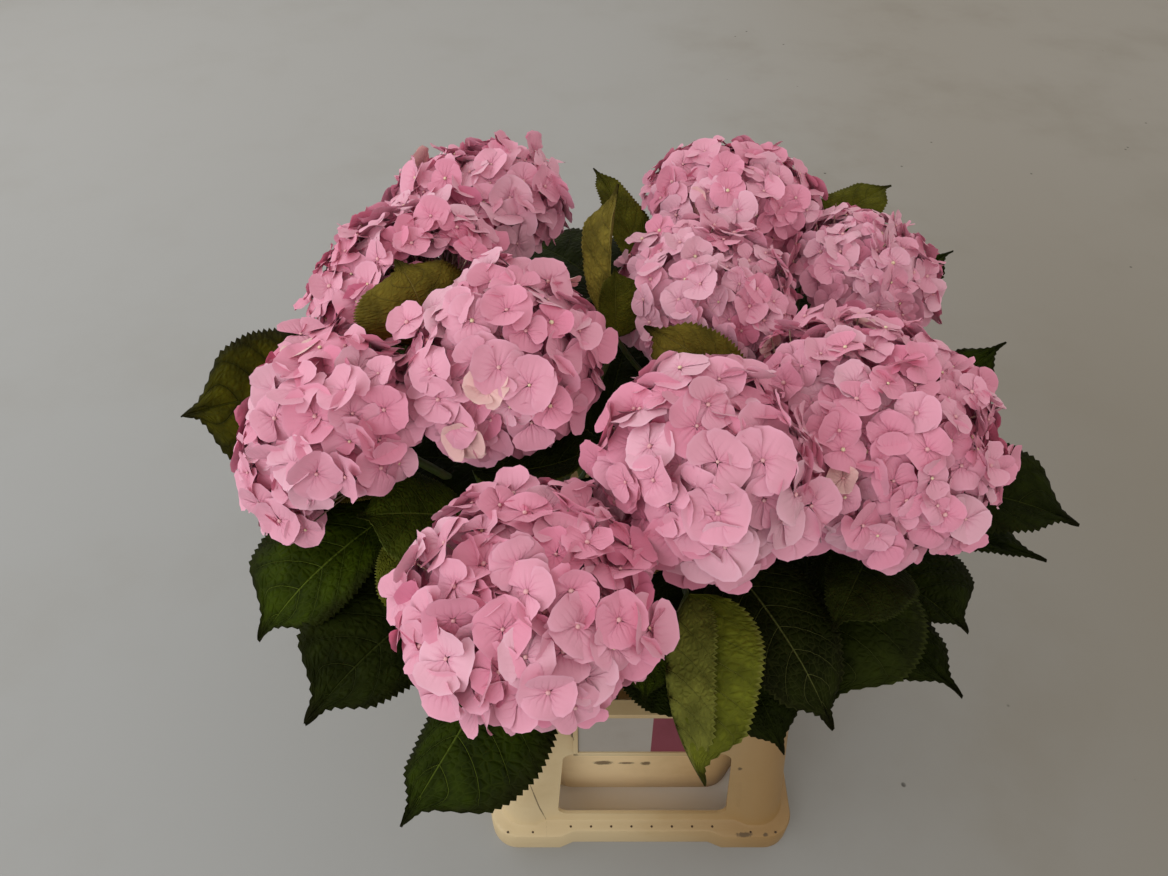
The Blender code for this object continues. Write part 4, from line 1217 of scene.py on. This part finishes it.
# The ranges that the petals of a flower of radius 1 are drawn from.
PETAL_BREADTH = (0.64, 0.80)
PETAL_REACH = (0.86, 1.02)
PETAL_CUP = (-0.24, 0.24)
PETAL_ARCH = (-0.26, 0.36)
PETAL_RUFFLE = (0.02, 0.07)
RUFFLE_WAVES = (3, 4, 5)
PETAL_NOTCH = (0, 0.07)
PETAL_TEETH = (0.012, 0.032)
PETAL_PITCH = (-9, 20)
PETAL_ROLL = (-14, 14)
PETAL_WAIST = (0.14, 0.36)
PETAL_STAGGER = 0.12
PETAL_LIFT = 0.06
TEMPLATES = 20

# How far out the flowers of the outer layer and of the inner layer stand, as shares of the head.
OUTER_REACH = (0.97, 0.91, 0.84)
INNER_REACH = 0.77
FLOWER_SIZE = (0.80, 1.08)
EYE_RADIUS = (0.0012, 0.0020)
EYE_FINISH = {"amount": 0.5, "roughness": 0.5}
FLOWER_SCATTER = 0.05
REACH_SCATTER = 0.02
LEAN_SPREAD = 0.55
CREAM = len(PETAL_TINTS) - 1

# Where on the scale of pinks the flowers of a head of middling tint lie, how steeply a head's tint
# moves that, how far its flowers vary, how much deeper the inner layer is, and how many times the
# head's share of cream flowers its far side and its near side have.
PINK_MIDDLE = 2.9
PINK_SLOPE = 2.4
MIDDLING_TINT = 0.3
PINK_SPREAD = 0.75
INNER_DEEPER = 1.6
CREAM_FAR = 2.2
CREAM_NEAR = 0.3

HEAD_CLEARANCE = 0.004
STALK_BOW = 0.004
STALK_RADII = (0.0015, 0.0011, 0.0009, 0.0007)

# Hollows that a leaf below has pressed into the edge of a head.
Bite = namedtuple("Bite", "centre radius")
BITES = {3: Bite((-0.219, -0.133, 0.488), 0.052)}
Flower = namedtuple("Flower", "centre normal turn size template tint")


def arrays_of(bm):
    """Points and faces of a finished bmesh, whose faces all have as many corners once split."""
    if len({len(face.verts) for face in bm.faces}) > 1:
        bmesh.ops.triangulate(bm, faces=bm.faces)
    bm.verts.index_update()
    points = np.array([vert.co for vert in bm.verts])
    faces = np.array([[vert.index for vert in face.verts] for face in bm.faces])
    bm.free()
    return points, faces


def shape_petal(bm, layer, rng, turn, lift):
    """One broad rounded petal of a flower of radius 1, with a narrow claw at the middle."""
    verts = bmesh.ops.create_grid(bm, x_segments=PETAL_CELLS, y_segments=PETAL_CELLS, size=1)["verts"]
    chosen = set(verts)
    breadth, reach = rng.uniform(*PETAL_BREADTH), rng.uniform(*PETAL_REACH)
    cup, arch = rng.uniform(*PETAL_CUP), rng.uniform(*PETAL_ARCH)
    ruffle, waves, start = rng.uniform(*PETAL_RUFFLE), rng.choice(RUFFLE_WAVES), rng.uniform(0, 6.28)
    notch, teeth = rng.uniform(*PETAL_NOTCH), rng.uniform(*PETAL_TEETH)
    pitch, roll = math.radians(rng.uniform(*PETAL_PITCH)), math.radians(rng.uniform(*PETAL_ROLL))
    waist = rng.uniform(*PETAL_WAIST)
    for vert in verts:
        u, v = vert.co.xy
        cell = round((u + v + 2) * PETAL_CELLS / 2)
        x, y = u * math.sqrt(1 - v * v / 2), v * math.sqrt(1 - u * u / 2)
        far, angle = math.hypot(x, y), math.atan2(x, y)
        share = (y + 1) / 2
        if max(abs(u), abs(v)) > 0.99 and share > 0.3:
            far_out = 1 + teeth * (1 if cell % 2 else -1)
            x, y = x * far_out, y * far_out
        narrow = waist + (1 - waist) * smoothstep(0.0, 0.38, share)
        out = PETAL_CLAW + (1 - PETAL_CLAW) * (y + 1) / 2
        out -= notch * math.exp(-(x / 0.22) ** 2) * far ** 4 * (1 if y > 0 else 0)
        rise = cup * share ** 2 - arch * x * x * share
        rise += ruffle * math.sin(waves * angle + start) * far ** 2 * share
        rise += lift * smoothstep(0, 0.3, share)
        vert.co = (x * breadth * narrow, out * reach, rise)
        for loop in vert.link_loops:
            if chosen.issuperset(loop.face.verts):
                loop[layer].uv = ((x / 1.03 + 1) / 2, (y / 1.03 + 1) / 2)
    turned = Matrix.Rotation(turn, 3, "Z") @ Matrix.Rotation(pitch, 3, "X")
    bmesh.ops.rotate(bm, verts=verts, matrix=turned @ Matrix.Rotation(roll, 3, "Y"))


def flower_template(rng, petals=4):
    """Points, faces and petal map of one flower of radius 1 that faces up."""
    bm = bmesh.new()
    layer = bm.loops.layers.uv.new("petal")
    for index in range(petals):
        turn = 2 * math.pi * index / petals + rng.uniform(-PETAL_STAGGER, PETAL_STAGGER)
        shape_petal(bm, layer, rng, turn, PETAL_LIFT * (index % 2))
    places = np.array([[loop[layer].uv[:] for loop in face.loops] for face in bm.faces])
    return *arrays_of(bm), places


def eye_template():
    """A small faceted bud of radius 1, a little flattened."""
    bm = bmesh.new()
    bmesh.ops.create_icosphere(bm, subdivisions=1, radius=1, matrix=Matrix.Diagonal((1, 1, 0.7, 1)))
    return arrays_of(bm)


def matrix_of(centre, normal, turn, size):
    """Rows that turn and place a template whose flower faces up."""
    across = normal.orthogonal().normalized()
    other = normal.cross(across)
    first = across * math.cos(turn) + other * math.sin(turn)
    second = normal.cross(first)
    return np.array([first * size, second * size, normal * size]), np.array(centre)


def joined_mesh(name, parts, materials, atlas_tiles=0):
    """One object from (points, faces, places or None, material index) parts."""
    points, faces, places, slots, count = [], [], [], [], 0
    for part_points, part_faces, part_places, slot in parts:
        points.append(part_points)
        faces.append(part_faces + count)
        slots.append(np.full(len(part_faces), slot))
        if part_places is not None:
            places.append(part_places)
        count += len(part_points)
    mesh = bpy.data.meshes.new(name)
    mesh.from_pydata(np.concatenate(points).tolist(), [], np.concatenate(faces).tolist())
    slots = np.concatenate(slots)
    mesh.polygons.foreach_set("material_index", slots)
    mesh.polygons.foreach_set("use_smooth", np.ones(len(slots), bool))
    if places:
        places = np.concatenate(places)
        mesh.uv_layers.new(name="petal").data.foreach_set("uv", places.ravel())
        tiled = places * (1 - 2 * ATLAS_MARGIN) + ATLAS_MARGIN
        tiled[:, :, 0] = (tiled[:, :, 0] + slots[:, None]) / atlas_tiles
        mesh.uv_layers.new(name="OFBake").data.foreach_set("uv", tiled.ravel())
    for made in materials:
        mesh.materials.append(made)
    return add_object(name, mesh)


def room_to_other_heads(point, number):
    """How far the point lies inside the planes half way to the other heads, and clear of its bite."""
    head = HEADS[number]
    own = head_centre(head)
    room = 1.0
    if number in BITES:
        room = (point - Vector(BITES[number].centre)).length - BITES[number].radius
    for other_number, other in HEADS.items():
        if other_number == number:
            continue
        between = head_centre(other) - own
        limit = between.length * head.width / (head.width + other.width)
        room = min(room, limit - (point - own).dot(between.normalized()))
    return room


def head_area(head):
    """Area of the flattened ball that the head fills, by Thomsen's rule."""
    level, mixed = (head.width ** 2) ** 1.6, (head.width * head.depth) ** 1.6
    return 4 * math.pi * ((level + 2 * mixed) / 3) ** (1 / 1.6)


def flowers_of(number, head, rng, leaf_tree, inner):
    """The flowers of one layer of a head, spread by the golden angle."""
    given = settings().blooms
    lowest = math.cos(given.lowest)
    cover = given.cover * (given.inner_share if inner else 1)
    count = int(cover * head_area(head) * (1 - lowest) / 2 / (math.pi * head.petal ** 2))
    turn = UP.rotation_difference(head_axis(head)).to_matrix()
    made = []
    for index in range(count):
        height = 1 - (1 - lowest) * (index + 0.5) / count
        angle = index * GOLDEN_ANGLE + number + (1.3 if inner else 0)
        ring = math.sqrt(1 - height * height)
        unit = Vector((ring * math.cos(angle), ring * math.sin(angle), height))
        unit += Vector([rng.uniform(-1, 1) for _ in range(3)]) * FLOWER_SCATTER
        unit.normalize()
        out = Vector((unit.x / head.width, unit.y / head.width, unit.z / head.depth)).normalized()
        lean = Vector([rng.gauss(0, LEAN_SPREAD) for _ in range(3)]) * math.tan(given.tilt)
        facing = (turn @ (out + lean)).normalized()
        facing = (facing + UP * 0.7 * smoothstep(0.35, -0.5, facing.z)).normalized()
        reach = INNER_REACH if inner else OUTER_REACH[index % 3]
        reach += rng.uniform(-REACH_SCATTER, REACH_SCATTER)
        reach *= 1 + 0.03 * math.sin(3 * angle + number) * ring
        reach *= 1 - 0.12 * smoothstep(0.35, -0.35, height)
        local = Vector((unit.x * head.width, unit.y * head.width, unit.z * head.depth))
        centre = head_centre(head) + turn @ local * reach
        size = head.petal * rng.uniform(*FLOWER_SIZE)
        room = room_to_other_heads(centre, number)
        if room < HEAD_CLEARANCE or leaf_tree.find(centre)[2] < 0.8 * size:
            continue
        size = min(size, max(room * 1.5, head.petal * 0.7))
        middle = PINK_MIDDLE - PINK_SLOPE * (head.tint - MIDDLING_TINT)
        depth = rng.gauss(middle, PINK_SPREAD) - (INNER_DEEPER if inner else 0)
        tint = int(min(max(round(depth), 0), CREAM - 1))
        if not inner and rng.random() < head.cream * (CREAM_FAR if unit.y > 0.2 else CREAM_NEAR):
            tint, size = CREAM, size * 0.9
        made.append(Flower(centre, facing, rng.uniform(0, math.pi), size,
                           rng.randrange(TEMPLATES), tint))
    return made


def stalk_template():
    """A thin, slightly bowed stalk of length 1 that rises from the origin."""
    bm = bmesh.new()
    points = [Vector((STALK_BOW * math.sin(math.pi * step / 3), 0, step / 3)) for step in range(4)]
    loft(bm, tube_rings(points, STALK_RADII, 3, UP, UP))
    return arrays_of(bm)


def stalk_to(flower, foot, rng):
    """Rows and place that stretch the stalk from the top of the stem to the back of a flower."""
    way = flower.centre - flower.normal * 0.0012 - foot
    rows, place = matrix_of(foot, way.normalized(), rng.uniform(0, 2 * math.pi), 1)
    return rows * np.array([[1], [1], [way.length]]), place


class HYDRANGEA_OT_blooms(bpy.types.Operator):
    """Make the flower heads: their petals, the eyes of the flowers and the thin stalks inside"""

    bl_idname = "hydrangea.blooms"
    bl_label = "Flower heads"

    def execute(self, context):
        rng = random.Random(SEED)
        templates = [flower_template(rng, 5 if index == TEMPLATES - 1 else 4)
                     for index in range(TEMPLATES)]
        eye_points, eye_faces = eye_template()
        materials = [petal_material(index, tint) for index, tint in enumerate(PETAL_TINTS)]
        leaf_tree = tree_of([vert.co for obj in bpy.data.objects if obj.name.startswith("foliage_")
                             for vert in obj.data.vertices])
        stalk_points, stalk_faces = stalk_template()
        eyes, stalks = [], []
        for number, head in HEADS.items():
            rng = random.Random(SEED + number)
            foot = stem_curve(head)[2]
            outer = flowers_of(number, head, rng, leaf_tree, False)
            inner = flowers_of(number, head, rng, leaf_tree, True)
            parts = []
            for flower in outer + inner:
                rows, centre = matrix_of(flower.centre, flower.normal, flower.turn, flower.size)
                points, faces, places = templates[flower.template]
                parts.append((points @ rows + centre, faces, places, flower.tint))
                start = foot + head_axis(head) * rng.uniform(0, 0.012)
                rows, centre = stalk_to(flower, start, rng)
                stalks.append((stalk_points @ rows + centre, stalk_faces, None, 0))
            for flower in outer:
                lift = flower.centre + flower.normal * flower.size * 0.05
                rows, centre = matrix_of(lift, flower.normal, 0, rng.uniform(*EYE_RADIUS))
                eyes.append((eye_points @ rows + centre, eye_faces, None, int(rng.random() < 0.2)))
            petals = joined_mesh(f"petals_{number:02d}", parts, materials, len(materials))
            settle(petals, "blooms", f"bloom_{number:02d}")
        pink = grained_material("eye_pink", (0.80, 0.42, 0.46, 1), (0.86, 0.62, 0.56, 1), **EYE_FINISH)
        cream = grained_material("eye_cream", (0.86, 0.72, 0.50, 1), (0.80, 0.60, 0.35, 1), **EYE_FINISH)
        settle(joined_mesh("flower_eyes", eyes, [pink, cream]), "blooms")
        green = grained_material("pedicel_green", (0.42, 0.30, 0.22, 1), (0.55, 0.30, 0.30, 1), amount=0.6,
                                 roughness=0.5)
        settle(joined_mesh("flower_stalks", stalks, [green]), "blooms")
        return {"FINISHED"}


# ---- the stage ----

CAMERA_PLACE = (-0.0626, -0.5524, 1.02)
CAMERA_TILT = math.radians(43)
# Dirt, and painted shade toward the right.
FLOOR_BROWN = (0.250, 0.228, 0.192, 1)
# Painted light on the floor under the container, for light that passes through its translucent plastic.
FLOOR_PAINTED_LIGHT = (0.95, 0.87, 0.76, 1)
SPECK = (0.03, 0.025, 0.02, 1)
FLOOR_FAR = (0.37, 0.37, 0.365, 1)
FLOOR_FAR_RIGHT = (0.320, 0.300, 0.270, 1)
FLOOR_HALF = 9
SKY_COLOUR = (1.0, 0.95, 0.87, 1)
SKY_STRENGTH = 0.71
SENSOR_WIDTH = 36
Lamp = namedtuple("Lamp", "name place aim width height power colour")
LAMPS = (
    Lamp("window_left", (-2.0, 0.5, 1.5), (0.0, 0.5, 0.3), 4.6, 1.4, 25, (0.96, 1.0, 1.04)),
    Lamp("lamp_front", (-1.1, -1.9, 1.5), (0.0, 0.0, 0.3), 1.2, 1.2, 10, (0.98, 1.0, 1.02)),
)


def floor_material(grey):
    """Grey floor, paler far back, darker and more brown to the right, partly dirt and partly painted shade,
    and with painted light under the container.
    """
    made, make, shader = new_material("floor_grey", grey, roughness=0.6, specular=0.3)
    spot = make.object_point()
    x, y, _ = make.split(spot)
    far = make.ramp(y, 0.0, 1.8)
    # More brown to the right: partly dirt, partly painted shade where the light from the left falls off.
    right = make.ramp(x, -0.1, 0.9)
    near = make.mix(right, grey, FLOOR_BROWN)
    back = make.mix(right, FLOOR_FAR, FLOOR_FAR_RIGHT)
    cloud = make.times(make.ramp(make.noise(spot, 3.0, 6.0, 0.6), 0.45, 0.75),
                       make.ramp(x, 0.0, 0.6, 0.16, 0.55))
    colour = make.mix(cloud, make.mix(far, near, back), FLOOR_BROWN)
    specks = make.add("ShaderNodeTexVoronoi", {"Vector": spot, "Scale": 14.0}).outputs["Distance"]
    dirt = make.times(make.ramp(specks, 0.025, 0.05, 0.8, 0.0),
                      make.ramp(make.noise(spot, 9.0, 2.0), 0.50, 0.56))
    colour = make.mix(make.times(dirt, make.ramp(x, 0.0, 0.3)), colour, SPECK)
    # Painted light: the floor under the container is made paler.
    apart = make.add("ShaderNodeVectorMath", {0: spot}, operation="ABSOLUTE").outputs[0]
    off_x, off_y, _ = make.split(apart)
    below = make.times(make.ramp(off_x, 0.130, 0.155, 1.0, 0.0), make.ramp(off_y, 0.190, 0.212, 1.0, 0.0))
    make.feed(shader, {"Base Color": make.mix(below, colour, FLOOR_PAINTED_LIGHT)})
    return made


class HYDRANGEA_OT_stage(bpy.types.Operator):
    """Set the floor, the soft lights and the camera"""

    bl_idname = "hydrangea.stage"
    bl_label = "Stage"

    def execute(self, context):
        given = settings().stage
        bm = bmesh.new()
        bmesh.ops.create_grid(bm, x_segments=8, y_segments=8, size=FLOOR_HALF)
        object_from(bm, "floor", [floor_material(tuple(given.floor))])
        for lamp in LAMPS:
            self.hang(lamp)
        world = bpy.data.worlds.new("studio")
        world.use_nodes = True
        sky = world.node_tree.nodes["Background"]
        Nodes(world.node_tree).feed(sky, {"Color": SKY_COLOUR, "Strength": SKY_STRENGTH})
        context.scene.world = world
        context.scene.view_settings.view_transform = "Standard"
        camera = bpy.data.cameras.new("camera")
        camera.sensor_width, camera.lens = SENSOR_WIDTH, given.lens
        holder = add_object("camera", camera)
        holder.location, holder.rotation_euler = CAMERA_PLACE, (CAMERA_TILT, 0, 0)
        context.scene.camera = holder
        return {"FINISHED"}

    def hang(self, given):
        """A soft rectangular lamp that the camera doesn't see."""
        lamp = bpy.data.lights.new(given.name, "AREA")
        lamp.shape = "RECTANGLE"
        lamp.size, lamp.size_y = given.width, given.height
        lamp.energy, lamp.color = given.power, given.colour
        holder = add_object(given.name, lamp)
        way = Vector(given.aim) - Vector(given.place)
        holder.location, holder.rotation_euler = given.place, way.to_track_quat("-Z", "Y").to_euler()
        holder.visible_camera = False


OPERATORS = (HYDRANGEA_OT_stage, HYDRANGEA_OT_container, HYDRANGEA_OT_card, HYDRANGEA_OT_stems,
             HYDRANGEA_OT_leaves, HYDRANGEA_OT_blooms)


class HYDRANGEA_PT_panel(bpy.types.Panel):
    """Lists the steps that build the bunch"""

    bl_label = "Hydrangea"
    bl_idname = "HYDRANGEA_PT_panel"
    bl_space_type = "VIEW_3D"
    bl_region_type = "UI"
    bl_category = "Hydrangea"

    def draw(self, context):
        for operator in OPERATORS:
            self.layout.operator(operator.bl_idname)
        for group in ("container", "stems", "leaves", "blooms", "stage"):
            box = self.layout.box()
            box.label(text=group.capitalize())
            chosen = getattr(context.scene.hydrangea, group)
            for name in type(chosen).__annotations__:
                box.prop(chosen, name)


CLASSES = (ContainerSettings, StemSettings, LeafSettings, BloomSettings, StageSettings,
           HydrangeaSettings, *OPERATORS, HYDRANGEA_PT_panel)


def register():
    for cls in CLASSES:
        bpy.utils.register_class(cls)
    bpy.types.Scene.hydrangea = bpy.props.PointerProperty(type=HydrangeaSettings)


def unregister():
    del bpy.types.Scene.hydrangea
    for cls in reversed(CLASSES):
        bpy.utils.unregister_class(cls)


def main():
    register()
    bpy.ops.hydrangea.stage()
    bpy.ops.hydrangea.container()
    bpy.ops.hydrangea.card()
    bpy.ops.hydrangea.stems()
    bpy.ops.hydrangea.leaves()
    bpy.ops.hydrangea.blooms()


if __name__ == "__main__":
    main()
